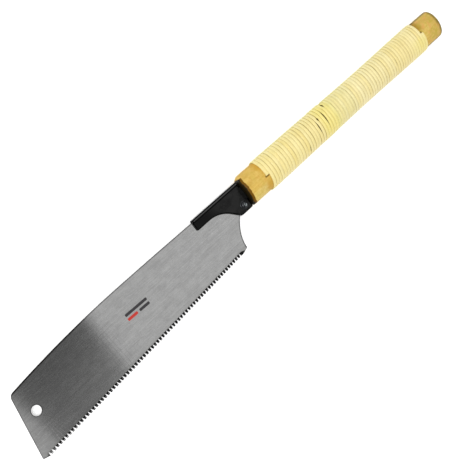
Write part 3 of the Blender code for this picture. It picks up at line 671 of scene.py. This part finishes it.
def blade_rim(share):
    """(x, y, z, plain) round the blade at one height: share is -1 on the lower face and +1 on the upper one.

    The gullets are filed at an angle that alternates from one to the next, so they sit further to one
    side on the upper face than on the lower. The tips lean towards the handle, and are set to each side.
    """
    shift = -THICK / 2 * math.tan(math.radians(FLEAM)) * share
    middle = share * THICK / 2
    rim = []

    def plain(points):
        rim.extend((x, y, middle, True) for x, y in points)

    def tooth_point(x, height, tooth):
        x += float(np.interp(x, (90.0, 190.0), (LEAN, 0.3))) * (0.5 - height / DEPTH)
        bend = SET * max(0.0, 1.0 - height / DEPTH) * (1 if tooth % 2 == 0 else -1)
        rim.append((x, tip_y(x) + height, middle + bend, False))

    toe = rounded([TOE_SPINE, TOE_HEEL, (-1.0, tip_y(-1.0) + 0.2)], [0, 1.2, 0], 6)[1:-1]
    plain(toe)
    start = flank(0, -1, 0.0, 0.0) + LEAN / 2
    plain([(start - 0.5, tip_y(start) + 0.35), (start - 0.12, tip_y(start) + 0.05)])
    for i in range(TEETH + 1):
        depth, low, high = groove(i)
        nominal = i * PITCH + shift * (1 if i % 2 == 0 else -1)
        if i == 0:
            tooth_point(flank(0, -1, 0.0, 0.0), 0.0, -1)
        tooth_point(nominal - low * 1.0, depth - low * 0.9, i - 1)
        tooth_point(nominal - low * 0.45, depth - low * 0.15, i - 1)
        tooth_point(nominal + low * 0.45, depth - low * 0.15, i)
        tooth_point(nominal + low * 1.0, depth - low * 0.9, i)
        if i == TEETH:
            tooth_point(flank(i, 1, 0.0, 0.0), 0.0, i)
            continue
        left, right, height = flank(i, 1, 0.0, shift), flank(i + 1, -1, 0.0, shift), 0.0
        while right - left < 0.10 and height < 1.2:
            height += 0.02
            left, right = flank(i, 1, height, shift), flank(i + 1, -1, height, shift)
        middle_height = (height + min(groove(i)[0], groove(i + 1)[0])) * 0.45
        tooth_point(flank(i, 1, middle_height, shift), middle_height, i)
        tooth_point(left, height + 0.16, i)
        tooth_point(left + (right - left) * 0.45, height, i)
        tooth_point(right, height + 0.04, i)
        tooth_point(flank(i + 1, -1, middle_height, shift), middle_height, i)
    x = TEETH * PITCH + 0.9
    plain([(x + 0.35, tip_y(x) + 0.15)])
    lower = (HEEL_CORNER[0] - 0.6, tip_y(HEEL_CORNER[0]) + 1.7)
    plain(bezier((x + 1.4, tip_y(x) + 0.25), (x + 5.2, tip_y(x + 4.0) + 0.9), lower, 6))
    plain(bezier(lower, (HEEL_CORNER[0] + 0.15, lower[1] + 0.3), (HEEL_CORNER[0] + 0.02, HEEL_CORNER[1] + 1.0), 4)[1:])
    plain(bezier(HEEL_CORNER, HEEL_BULGE, HEEL_TOP, 40)[3:])
    plain(bezier(HEEL_TOP, (281.0, TANG_BOTTOM), (284.0, TANG_BOTTOM), 5)[1:])
    plain(rounded([(284.0, TANG_BOTTOM), (TANG_REAR, TANG_BOTTOM), (TANG_REAR, PIVOT[1] - HOOK / 2)], [0, 1.2, 0])[1:])
    plain(arc(PIVOT, HOOK / 2, 270, 90, 18))
    plain([(TANG_REAR, PIVOT[1] + HOOK / 2), (TANG_REAR, 6.0)])
    plain(bezier((TANG_REAR, 6.0), (TANG_REAR, spine_y(400)), (285.0, spine_y(400)), 8)[1:])
    plain([(270.0, spine_y(270)), (250.0, spine_y(250))])
    steps = 90
    for i in range(steps + 1):
        x = HOLDER_X + (TOE_SPINE[0] + 4.0 - HOLDER_X) * i / steps
        plain([(x, spine_y(x))])
    down = Vector(TOE_SPINE) + (Vector(TOE_HEEL) - Vector(TOE_SPINE)).normalized() * 4.2
    plain(bezier((TOE_SPINE[0] + 4.0, spine_y(TOE_SPINE[0] + 4.0)), TOE_SPINE, tuple(down), 8)[1:])
    for i in range(1, 12):
        p = Vector(down).lerp(Vector(toe[0]), i / 12)
        plain([tuple(p)])
    return rim


def level(share, chamfer):
    rim = blade_rim(share)
    out = []
    count = len(rim)
    for k, (x, y, z, plain) in enumerate(rim):
        if plain and chamfer:
            a, b = rim[k - 1], rim[(k + 1) % count]
            along = Vector((b[0] - a[0], b[1] - a[1]))
            if along.length > 0:
                inward = Vector((-along.y, along.x)).normalized()
                x, y = x + inward.x * chamfer, y + inward.y * chamfer
        out.append((x, y, z))
    return out


def blade_mesh():
    soft = 0.09
    levels = [
        level(1.0, soft),
        level(1.0 - 2 * soft / THICK, 0.0),
        level(-1.0 + 2 * soft / THICK, 0.0),
        level(-1.0, soft),
    ]
    heights = [THICK / 2, THICK / 2 - soft, -THICK / 2 + soft, -THICK / 2]
    count = len(levels[0])
    verts, faces = [], []
    for ring in levels:
        verts += [at(*p) for p in ring]
    hole_base = len(verts)
    sides = 64
    for z, extra in zip(heights, (0.16, 0.0, 0.0, 0.16)):
        for k in range(sides):
            a = 2 * math.pi * k / sides
            verts.append(at(HANG_HOLE[0] + (HANG_R + extra) * math.cos(a), HANG_HOLE[1] + (HANG_R + extra) * math.sin(a), z))
    for r in range(3):
        for k in range(count):
            l = (k + 1) % count
            faces.append((r * count + k, (r + 1) * count + k, (r + 1) * count + l, r * count + l))
        for k in range(sides):
            l = (k + 1) % sides
            b0, b1 = hole_base + r * sides, hole_base + (r + 1) * sides
            faces.append((b0 + k, b0 + l, b1 + l, b1 + k))
    for ring_index in (0, 3):
        ring = levels[ring_index]
        flat = [Vector((x, y)) for x, y, z in ring]
        hole = [
            Vector((v.x / MM + MIDDLE_X, v.y / MM + MIDDLE_Y))
            for v in verts[hole_base + ring_index * sides : hole_base + (ring_index + 1) * sides]
        ]
        points = flat + hole
        edges = [(k, (k + 1) % count) for k in range(count)]
        edges += [(count + k, count + (k + 1) % sides) for k in range(sides)]
        out_verts, _, out_faces, original, _, _ = delaunay_2d_cdt(points, edges, [], 2, 1e-6)
        place = {}
        for index, source in enumerate(original):
            place[index] = source[0] if source else None
        for face in out_faces:
            members = [place[v] for v in face]
            if None in members:
                continue
            # Faces with every corner on the hole's rim lie inside the hole
            if all(m >= count for m in members):
                continue
            members = [
                ring_index * count + m if m < count else hole_base + ring_index * sides + (m - count) for m in members
            ]
            faces.append(members if ring_index == 0 else members[::-1])
    mesh = mesh_from("blade", verts, faces)
    layer = mesh.uv_layers.new(name="plane")
    data = np.empty(len(mesh.loops) * 2, np.float32)
    vertex = np.empty(len(mesh.loops), np.int32)
    mesh.loops.foreach_get("vertex_index", vertex)
    co = np.array([v.co[:2] for v in mesh.vertices], np.float32)
    data = (co[vertex] * 3.0).ravel()
    layer.data.foreach_set("uv", data)
    return mesh


blade = new_piece("toothed_blade", blade_mesh(), "blade", STEEL, ["saw_blade"], smooth=30.0)
blade.data.polygons.foreach_set("use_smooth", [abs(p.normal.z) < 0.999 for p in blade.data.polygons])


def bar(name, x0, x1, y0, y1, material, turn=-1.5, centre=(138.5, -14.6)):
    """A thin printed bar with round ends."""
    points = rounded([(x0, y0), (x1, y0), (x1, y1), (x0, y1)], [min(abs(y1 - y0) / 2, 0.9)] * 4, 6)
    c, s = math.cos(math.radians(turn)), math.sin(math.radians(turn))
    points = [
        (centre[0] + (x - centre[0]) * c - (y - centre[1]) * s, centre[1] + (x - centre[0]) * s + (y - centre[1]) * c)
        for x, y in points
    ]
    mesh = extruded(name, points, THICK / 2 - 0.05, THICK / 2 + 0.025)
    return new_piece(name, mesh, "blade", material, smooth=30.0)


bar("print_bar_long", 126.0, 152.0, -13.6, -11.0, PRINT_DARK)
bar("print_bar_red", 126.0, 137.6, -18.0, -15.4, PRINT_RED)
bar("print_bar_short", 140.0, 152.0, -18.0, -15.4, PRINT_DARK)

# ------------------------------------------------------------------ holder

PLATE_IN, PLATE_OUT = 0.6, 1.8


def plate_outline():
    arm, bottom, front = 1.65, -15.65, HOLDER_X - 0.7
    sweep = bezier((249.0, arm), (262.9, arm - 0.6), (271.8, -7.9), 36)
    tail = bezier((271.8, -7.9), (276.7, -13.0), (279.7, bottom), 10)[1:]
    outline = sweep + tail
    outline += [(292.0, bottom)] + arc((293.6, bottom + 1.4), 1.4, 270, 360, 6)
    outline += [(295.0, -7.5), (302.0, -7.3), (302.0, 7.3), (295.0, 7.5), (295.0, 11.6), (front + 1.4, 11.6)]
    outline += arc((front + 1.4, 10.2), 1.4, 90, 180, 6)[1:] + arc((front + 1.4, arm + 1.4), 1.4, 180, 270, 6)
    return outline


def rimmed(mesh, width):
    """Marks the flat faces' borders for painted edge shade: the value rim goes from 1 at the edge to 0 at width inside
    it.
    """
    bm = bmesh.new()
    bm.from_mesh(mesh)
    broad = sorted(bm.faces, key=lambda f: f.calc_area())[-2:]
    for face in broad:
        bmesh.ops.inset_region(bm, faces=[face], thickness=width * MM, use_even_offset=True, use_boundary=True)
    bm.verts.index_update()
    inner = {v.index for face in broad for v in face.verts}
    bm.to_mesh(mesh)
    bm.free()
    layer = mesh.attributes.new("rim", "FLOAT", "POINT")
    layer.data.foreach_set("value", [0.0 if i in inner else 1.0 for i in range(len(mesh.vertices))])
    return mesh


for side, name, node in ((1, "plate_upper", "holder_plate_upper"), (-1, "plate_lower", "holder_plate_lower")):
    z0, z1 = sorted((side * PLATE_IN, side * PLATE_OUT))
    mesh = rimmed(extruded(name, plate_outline(), z0, z1, round_edges=0.22, segments=3, sharp_limit=60.0), 1.05)
    plate = new_piece(name, mesh, "handle_assembly", BLACK, [node], smooth=40.0)
    boolean(plate, tool_from(turned("plate_hole", [(0.0, 3.0), (2.15, 3.0), (2.15, -3.0), (0.0, -3.0)], 48, PIVOT)))
    plate.data.materials.clear()
    plate.data.materials.append(BLACK)
    plate.data.shade_smooth()
    plate.data.set_sharp_from_angle(angle=math.radians(40.0))


def channel_mesh():
    """The folded spine strip: each cheek is a rounded bead, crowned across its width."""
    bottom, inner_top, z_in = 10.1, 11.9, 2.0
    crown = [
        (10.10, 2.30), (10.14, 2.52), (10.24, 2.68), (10.40, 2.77), (10.60, 2.785), (10.85, 2.765), (11.15, 2.725),
        (11.45, 2.675), (11.75, 2.61), (12.05, 2.52), (12.33, 2.41), (12.58, 2.26), (12.76, 2.07), (12.88, 1.86), (12.92, 1.60),
    ]
    # Painted shade on the bead: these values darken its lower edge and its top outline
    shade = [1.0, 1.0, 0.9, 0.4, 0.0, 0.0, 0.0, 0.0, 0.35, 1.0, 1.0, 1.0, 1.0, 1.0, 1.0]
    back = [(y, -z) for y, z in reversed(crown)]
    section = crown + back + [(bottom, -z_in), (inner_top - 0.2, -z_in), (inner_top, -z_in + 0.2)]
    section += [(inner_top, z_in - 0.2), (inner_top - 0.2, z_in), (bottom, z_in)]
    section = section[::-1]
    x0, x1 = HOLDER_X + 0.2, 295.0
    stations = [(x0, 0.30), (x0 + 0.08, 0.12), (x0 + 0.28, 0.0), (x0 + 0.9, 0.0)]
    stations += [(x0 + 0.28 + (x1 - x0 - 0.56) * i / 12, 0.0) for i in range(1, 12)]
    stations += [(x1 - 0.9, 0.0), (x1 - 0.28, 0.0), (x1 - 0.08, 0.12), (x1, 0.30)]
    verts, m = [], len(section)
    for x, inset in stations:
        for k, (y, z) in enumerate(section):
            a, b = section[k - 1], section[(k + 1) % m]
            along = Vector((b[0] - a[0], b[1] - a[1]))
            inward = Vector((-along.y, along.x)).normalized() if along.length else Vector((0, 0))
            depth = inset if abs(z) > z_in + 0.05 or y > inner_top + 0.1 else 0.0
            verts.append(at(x, y + inward.x * depth, z + inward.y * depth))
    faces = grid_faces(len(stations), m, wrap_cols=True)
    faces.append(tuple(range(m)))
    faces.append(tuple(reversed(range((len(stations) - 1) * m, len(stations) * m))))
    mesh = mesh_from("channel", verts, faces)
    # The value rim paints shade on the enamel, along the crown's edges and at both ends
    layer = mesh.attributes.new("rim", "FLOAT", "POINT")
    values = (shade + shade[::-1] + [1.0] * (m - 2 * len(shade)))[::-1]
    end_shade = [1.0, 1.0, 0.6] + [0.0] * (len(stations) - 6) + [0.6, 1.0, 1.0]
    layer.data.foreach_set("value", [max(v, e) for e in end_shade for v in values])
    return mesh


new_piece("folded_channel", channel_mesh(), "handle_assembly", BLACK, ["spine_channel"], smooth=45.0)

# Low slotted screw: a flat top with a rounded rim, and a cut thread below
screw_low, screw_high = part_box("clamp_screw")
under = HEAD_TOP - 1.9
foot = screw_low.z / MM - BLADE_Z
profile = [(0.0, HEAD_TOP), (1.6, HEAD_TOP), (2.0, HEAD_TOP - 0.01)]
for i in range(1, 13):
    a = math.radians(90 - 90 * i / 12)
    profile.append((2.1 + 1.3 * math.cos(a), HEAD_TOP - 1.4 + 1.39 * math.sin(a)))
profile += [(3.4, under + 0.2), (3.34, under + 0.05), (3.25, under), (2.0, under)]
z = under - 0.3
while z > foot + 0.7:
    profile += [(2.0, z), (1.72, z - 0.35)]
    z -= 0.7
profile += [(1.9, foot + 0.45), (1.45, foot), (0.0, foot)]
screw = new_piece(
    "slotted_screw", turned("slotted_screw", profile, 64, PIVOT), "screw", OXIDE, ["clamp_screw"], smooth=32.0
)
c, s_ = math.cos(math.radians(32.0)), math.sin(math.radians(32.0))
slot = [
    (PIVOT[0] + u * c - v * s_, PIVOT[1] + u * s_ + v * c)
    for u, v in ((-4.5, -0.45), (4.5, -0.45), (4.5, 0.45), (-4.5, 0.45))
]
boolean(screw, tool_from(extruded("slot", slot, HEAD_TOP - 0.9, HEAD_TOP + 1.0)))
screw.data.materials.clear()
screw.data.materials.append(OXIDE)
screw.data.shade_smooth()
screw.data.set_sharp_from_angle(angle=math.radians(32.0))

for name, node in (("washer_ring_upper", "washer_upper"), ("washer_ring_lower", "washer_lower")):
    low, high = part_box(node)
    z0, z1, ro, ri = low.z / MM - BLADE_Z, high.z / MM - BLADE_Z, (high.x - low.x) / 2 / MM, 2.3
    e = 0.12
    ring = [(ri + e, z1), (ro - e, z1), (ro - 0.03, z1 - 0.05), (ro, z1 - e), (ro, z0 + e), (ro - 0.03, z0 + 0.05), (ro - e, z0), (ri + e, z0), (ri, z0 + e), (ri, z1 - e)]
    new_piece(name, turned(name, ring, 48, PIVOT), "handle_assembly", OXIDE, [node], smooth=40.0)

low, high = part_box("clamp_nut")
z0, z1 = low.z / MM - BLADE_Z, high.z / MM - BLADE_Z
flats = (high.y - low.y) / MM
corner_r = flats / 2 / math.cos(math.radians(30))
hexagon = [(PIVOT[0] + corner_r * math.cos(math.radians(60 * k)), PIVOT[1] + corner_r * math.sin(math.radians(60 * k))) for k in range(6)]
nut = new_piece(
    "hex_nut", extruded("hex_nut", hexagon, z0, z1), "handle_assembly", OXIDE, ["clamp_nut"], smooth=30.0
)
cone = turned(
    "nut_blank", [(0.0, z1 + 1), (2.6, z1 + 1), (4.3, z1 - 0.6), (4.3, z0 + 0.6), (2.6, z0 - 1), (0.0, z0 - 1)], 50, PIVOT
)
boolean(nut, tool_from(cone), "INTERSECT")
boolean(nut, tool_from(turned("nut_hole", [(0.0, z1 + 1), (2.08, z1 + 1), (2.08, z0 - 1), (0.0, z0 - 1)], 32, PIVOT)))
nut.data.materials.clear()
nut.data.materials.append(OXIDE)
nut.data.shade_smooth()
nut.data.set_sharp_from_angle(angle=math.radians(28.0))

# ------------------------------------------------------------------ handle

FLAT = 0.69
FRONT_X = 295.3
WAIST_X = 478.0


def half_width(x):
    if x < WAIST_X:
        share, start, end = (x - 330.0) / (WAIST_X - 330.0), 16.0, 14.95
    else:
        share, start, end = (x - WAIST_X) / (580.0 - WAIST_X), 14.95, 15.8
    share = min(max(share, 0.0), 1.0)
    share = share * share * (3 - 2 * share)
    return start + (end - start) * share


def wood_profile():
    """(x, half width) along the whole handle, front to butt."""
    profile = [(FRONT_X, 0.0), (FRONT_X, 6.0), (FRONT_X, 10.5), (FRONT_X, 12.0), (FRONT_X, 12.8)]
    for i in range(0, 11):
        a = math.radians(90 * i / 10)
        profile.append((FRONT_X + 3.9 * (1 - math.cos(a)), 13.2 + 2.8 * math.sin(a)))
    x = 303.0
    while x < BUTT_X - 4.0:
        profile.append((x, half_width(x)))
        x += 4.0
    for i in range(0, 11):
        a = math.radians(90 * i / 10)
        profile.append((BUTT_X - 3.2 + 2.9 * math.sin(a), 12.8 + 3.0 * math.cos(a)))
    profile += [(BUTT_X - 0.12, 9.0), (BUTT_X - 0.04, 5.0), (BUTT_X, 0.0)]
    return profile


def handle_half(name, side):
    profile = wood_profile()
    around = 56
    verts = []
    gap = 0.05
    rows = []
    for x, r in profile:
        row = []
        for k in range(around + 1):
            a = math.pi * k / around
            y = r * math.cos(a)
            z = r * FLAT * math.sin(a)
            row.append(len(verts))
            # The front face falls back towards the spine's side
            back_off = 3.2 * max(math.cos(a), 0.0) ** (9 if side > 0 else 2) * min(max((r - 11.0) / 2.6, 0.0), 1.0) * min(max((304.0 - x) / 4.0, 0.0), 1.0)
            verts.append(at(x + back_off, y, side * max(z, 0.0) + side * gap))
        rows.append(row)
    faces = []
    m = around + 1
    for i in range(len(rows) - 1):
        for k in range(around):
            faces.append((i * m + k, (i + 1) * m + k, (i + 1) * m + k + 1, i * m + k + 1))
        faces.append((i * m, i * m + around, (i + 1) * m + around, (i + 1) * m))
    mesh = mesh_from(name, verts, faces)
    bm = bmesh.new()
    bm.from_mesh(mesh)
    bmesh.ops.remove_doubles(bm, verts=bm.verts, dist=0.000004)
    bmesh.ops.recalc_face_normals(bm, faces=bm.faces)
    bm.to_mesh(mesh)
    bm.free()
    return mesh


for side, name, node in ((1, "wood_upper", "handle_half_upper"), (-1, "wood_lower", "handle_half_lower")):
    half = new_piece(name, handle_half(name, side), "handle_assembly", WOOD, [node], smooth=50.0)
    block = bpy.data.meshes.new("mortise")
    bm = bmesh.new()
    bmesh.ops.create_cube(bm, size=1.0)
    bmesh.ops.scale(bm, vec=Vector((80.0, 15.6, 4.2)) * MM, verts=bm.verts)
    bmesh.ops.translate(bm, vec=at(330.0, 0.0, 0.0), verts=bm.verts)
    bm.to_mesh(block)
    bm.free()
    boolean(half, tool_from(block))
    half.data.materials.clear()
    half.data.materials.append(WOOD)
    half.data.shade_smooth()
    half.data.set_sharp_from_angle(angle=math.radians(50.0))

# ------------------------------------------------------------------ rattan

RATTAN_GAP = 0.12
STRIP_T = 1.13
TURN = 4.13
STEPS = 72
rng = random.Random(7)
phases = [rng.uniform(0, 2 * math.pi) for _ in range(12)]
turn_noise = {}


def turn_random(index, salt):
    key = (index, salt)
    if key not in turn_noise:
        turn_noise[key] = random.Random(index * 131 + salt * 7919).uniform(-1, 1)
    return turn_noise[key]


def blend_turns(phi, salt):
    """A smooth value along the strip: it differs from turn to turn without a jump."""
    turn = phi / (2 * math.pi)
    i = math.floor(turn)
    f = turn - i
    f = f * f * (3 - 2 * f)
    return turn_random(i, salt) * (1 - f) + turn_random(i + 1, salt) * f


def strip_mesh(name, start_x, turns, start_angle, extra=0.0, pitch=TURN, gaps=(), width=3.98, taper=(0.0, 0.0)):
    """A strip wound round the handle. It passes over the top from -Y to +Y as it goes to the butt.

    start_angle is where its cut end lies: 90 degrees is the crown and 180 the toothed side.
    """
    total = int(turns * STEPS)
    rows = []
    info = []
    for s in range(total + 1):
        phi = 2 * math.pi * s / STEPS
        angle = math.radians(start_angle) - phi
        x = start_x + pitch * s / STEPS
        x += 0.10 * blend_turns(phi, 1) + 0.05 * math.sin(phi * 1.7 + phases[0]) + 0.03 * math.sin(phi * 4.3 + phases[1])
        a = half_width(x) + RATTAN_GAP
        b = a * FLAT
        thick = (STRIP_T + extra) * (1 + 0.05 * blend_turns(phi, 2))
        tilt = 0.06 * blend_turns(phi, 3)
        w = width * (1 + 0.025 * blend_turns(phi, 4)) / 2
        # Where a gap is open between two turns, each of them is narrower on that side
        left = right = 1.0
        for gap_x, gap_angle, spread, amount in gaps:
            off = (math.degrees(angle) - gap_angle + 180.0) % 360.0 - 180.0
            ahead = x - (gap_x - TURN * off / 360.0)
            if abs(ahead) < TURN * 0.75:
                cut = amount * math.exp(-((off / spread) ** 2)) / w
                if ahead > 0:
                    left = min(left, 1.0 - cut)
                else:
                    right = min(right, 1.0 - cut)
        # cut ends are squeezed down a little
        for end, where in ((taper[0], s / STEPS), (taper[1], (total - s) / STEPS)):
            if end and where < end:
                thick *= 0.72 + 0.28 * where / end
        section = [
            (-w + 0.18, 0.0), (-w + 0.02, 0.16), (-w, 0.42), (-w + 0.08, 0.68), (-w + 0.30, 0.86), (-w + 0.75, 0.965),
            (-w * 0.32, 1.03), (w * 0.32, 1.03),
            (w - 0.75, 0.965), (w - 0.30, 0.86), (w - 0.08, 0.68), (w, 0.42), (w - 0.02, 0.16), (w - 0.18, 0.0),
        ]
        cy, cz = math.cos(angle), math.sin(angle)
        centre = (a * cy, b * cz)
        normal = Vector((cy / a, cz / b)).normalized()
        row = []
        for u, h in section:
            lift = h * thick + tilt * u * h
            u *= left if u < 0 else right
            row.append((x + u, centre[0] + normal.x * lift, centre[1] + normal.y * lift))
        rows.append(row)
        info.append((phi * 15.0, blend_turns(phi, 5) * 0.5 + 0.5))
    m = len(rows[0])
    verts = [at(*p) for row in rows for p in row]
    faces = grid_faces(len(rows), m, wrap_cols=True)
    faces.append(tuple(range(m)))
    faces.append(tuple(reversed(range((len(rows) - 1) * m, len(rows) * m))))
    mesh = mesh_from(name, verts, faces)
    data = np.zeros((len(verts), 3), np.float32)
    k = 0
    for row, (along, chance) in zip(rows, info):
        middle = sum(p[0] for p in row) / m
        for p in row:
            data[k] = (along, p[0] - middle, chance)
            k += 1
    attribute = mesh.attributes.new("strip", "FLOAT_VECTOR", "POINT")
    attribute.data.foreach_set("vector", data.ravel())
    return mesh


FIRST_X, FIRST_ANGLE = 322.6, 94.0


def between(target, angle):
    """The boundary between two turns that lies nearest to x = target at one angle round the handle."""
    base = FIRST_X + TURN * (FIRST_ANGLE - angle) / 360.0 + TURN / 2
    return base + round((target - base) / TURN) * TURN


# Openings seen between turns: x, angle round the handle, spread of the angle, and how far each side draws back
GAPS = [
    (between(403.2, 91.0), 91.0, 22.0, 0.52),
    (between(407.6, 65.0), 65.0, 4.8, 0.95),
    (between(416.5, 76.0) + 0.22, 76.0, 29.0, 0.80),
    (between(424.7, 31.0) + 0.22, 31.0, 10.0, 1.35),
    (between(381.0, 134.0), 134.0, 10.0, 0.60),
    (between(530.5, 104.0), 104.0, 11.0, 0.36),
]
front_turns = (407.0 - 0.3 - FIRST_X) / TURN
new_piece(
    "rattan_front",
    strip_mesh("rattan_front", FIRST_X, front_turns, FIRST_ANGLE, gaps=GAPS, taper=(0.12, 0.25)),
    "handle_assembly", RATTAN, ["rattan_wrap_front"], smooth=60.0,
)
lap_start = FIRST_X + front_turns * TURN + 0.22
lap_angle = FIRST_ANGLE - front_turns * 360.0 - 4.0
lap_turns = 4.85
new_piece(
    "rattan_lap_turns",
    strip_mesh("rattan_lap_turns", lap_start, lap_turns, lap_angle, extra=0.22, gaps=GAPS, taper=(0.2, 0.2)),
    "handle_assembly", RATTAN, ["rattan_lap"], smooth=60.0,
)
rear_start = lap_start + lap_turns * TURN + 0.22
rear_angle = lap_angle - lap_turns * 360.0 - 4.0
REAR_X, REAR_ANGLE = 582.5, 84.0
rear_turns = (REAR_X - rear_start) / TURN
finish = (rear_angle - rear_turns * 360.0 - REAR_ANGLE) % 360.0
rear_turns += (finish if finish < 180 else finish - 360) / 360.0
rear_pitch = (REAR_X - rear_start) / rear_turns
new_piece(
    "rattan_rear",
    strip_mesh("rattan_rear", rear_start, rear_turns, rear_angle, pitch=rear_pitch, gaps=GAPS, taper=(0.25, 0.12)),
    "handle_assembly", RATTAN, ["rattan_wrap_rear"], smooth=60.0,
)

# ------------------------------------------------------------------ stage, light and camera

floor_mesh = bpy.data.meshes.new("floor")
bm = bmesh.new()
bmesh.ops.create_grid(bm, x_segments=1, y_segments=1, size=6.0)
bm.to_mesh(floor_mesh)
bm.free()
floor = bpy.data.objects.new("floor", floor_mesh)
floor.location = (0, 0, -0.0005)
bpy.context.scene.collection.objects.link(floor)
paper = Nodes("pale_floor")
paper.set(colour=(0.93, 0.93, 0.93), rough=0.9, specular=0.1)
paper.shader.inputs["Emission Color"].default_value = (1.0, 1.0, 1.0, 1.0)
paper.shader.inputs["Emission Strength"].default_value = 0.2
floor_mesh.materials.append(paper.material)

world = bpy.data.worlds.new("studio")
world.use_nodes = True
world.node_tree.nodes["Background"].inputs["Color"].default_value = (1.0, 1.0, 1.0, 1.0)
world.node_tree.nodes["Background"].inputs["Strength"].default_value = 0.72
bpy.context.scene.world = world


def area(name, location, target, size, power, size_y=None):
    light = bpy.data.lights.new(name, "AREA")
    light.shape = "RECTANGLE"
    light.size = size
    light.size_y = size_y or size
    light.energy = power
    obj = bpy.data.objects.new(name, light)
    obj.location = location
    obj.rotation_mode = "QUATERNION"
    obj.rotation_quaternion = (Vector(target) - Vector(location)).to_track_quat("-Z", "Y")
    bpy.context.scene.collection.objects.link(obj)
    return obj


def card(name, outline, z, shade_low, shade_high, blend_low=0.0, blend_high=1.0, lift=0.0):
    """A flag seen only in reflections: it shades part of the bright surroundings, as a studio flag does.

    Its shade goes from shade_low at y = blend_low to shade_high at y = blend_high, and lift brightens it
    towards +x on the low side.
    """
    mesh = mesh_from(name, [at(x, y, z) for x, y in outline], [tuple(range(len(outline)))], recalc=False)
    obj = bpy.data.objects.new(name, mesh)
    bpy.context.scene.collection.objects.link(obj)
    n = Nodes(name)
    n.tree.nodes.remove(n.shader)
    glow = n.add("ShaderNodeEmission")
    x, y, _ = n.axes(n.object_mm())
    strength = n.step(y, blend_low, blend_high, shade_low, shade_high)
    if lift:
        more = n.math("MULTIPLY", n.step(x, 240.0, 345.0, 0.0, lift), n.step(y, -140.0, -185.0))
        strength = n.math("MULTIPLY", strength, n.math("ADD", more, 1.0))
    n.link(strength, glow.inputs["Strength"])
    n.link(glow.outputs[0], n.tree.nodes["Material Output"].inputs["Surface"])
    mesh.materials.append(n.material)
    obj.visible_camera = False
    obj.visible_diffuse = False
    obj.visible_shadow = False
    obj.visible_transmission = False
    return obj


def rectangle(x0, x1, y0, y1):
    return [(x0, y0), (x1, y0), (x1, y1), (x0, y1)]


card("blade_flag", [(187, -330), (361, -330), (361, 0), (148, 0), (173, -120), (187, -185)], 825.0, 0.25, 0.115, -215.0, -125.0, lift=0.30)
card("toe_flag", rectangle(60.0, 220.0, -330.0, 0.0), 827.0, 0.60, 0.56, -215.0, -125.0)
card("bead_glow", rectangle(615.0, 790.0, 30.0, 270.0), 825.0, 2.3, 2.3)
card("low_flag", rectangle(-200.0, 1600.0, -3000.0, -420.0), 830.0, 0.22, 0.30, -1200.0, -500.0)

# Camera
TILT, LEAN, ROLL = math.radians(26.576), math.radians(9.0), math.radians(42.463)
FOCAL_PX, LONG_SIDE_PX = 1000.0, 473.0
back = Vector((-math.sin(TILT), math.sin(LEAN), 0.0))
back.z = math.sqrt(1.0 - back.x**2 - back.y**2)
flat_x = Vector((1, 0, 0)) - back * back.x
flat_x.normalize()
flat_y = back.cross(flat_x)
right = flat_x * math.cos(ROLL) - flat_y * math.sin(ROLL)
up = flat_x * math.sin(ROLL) + flat_y * math.cos(ROLL)
camera = bpy.data.cameras.new("camera")
camera.sensor_fit = "AUTO"
camera.sensor_width = 36.0
camera.lens = FOCAL_PX / LONG_SIDE_PX * 36.0
camera.clip_start, camera.clip_end = 0.01, 50.0
camera_obj = bpy.data.objects.new("camera", camera)
turn = Matrix((right, up, back)).transposed().to_4x4()
EYE = at(-165.03, 125.21, 825.34)
camera_obj.matrix_world = Matrix.Translation(EYE) @ turn
bpy.context.scene.collection.objects.link(camera_obj)
bpy.context.scene.camera = camera_obj
# The softbox stands behind the camera, so the floor seen past the saw's edges is lit
area("softbox", Vector((0.0, 0.0, 0.01)) + back * 2.4, (0.0, 0.0, 0.01), 0.75, 40.0)

bpy.context.scene.view_settings.view_transform = "Standard"
bpy.context.scene.view_settings.look = "None"
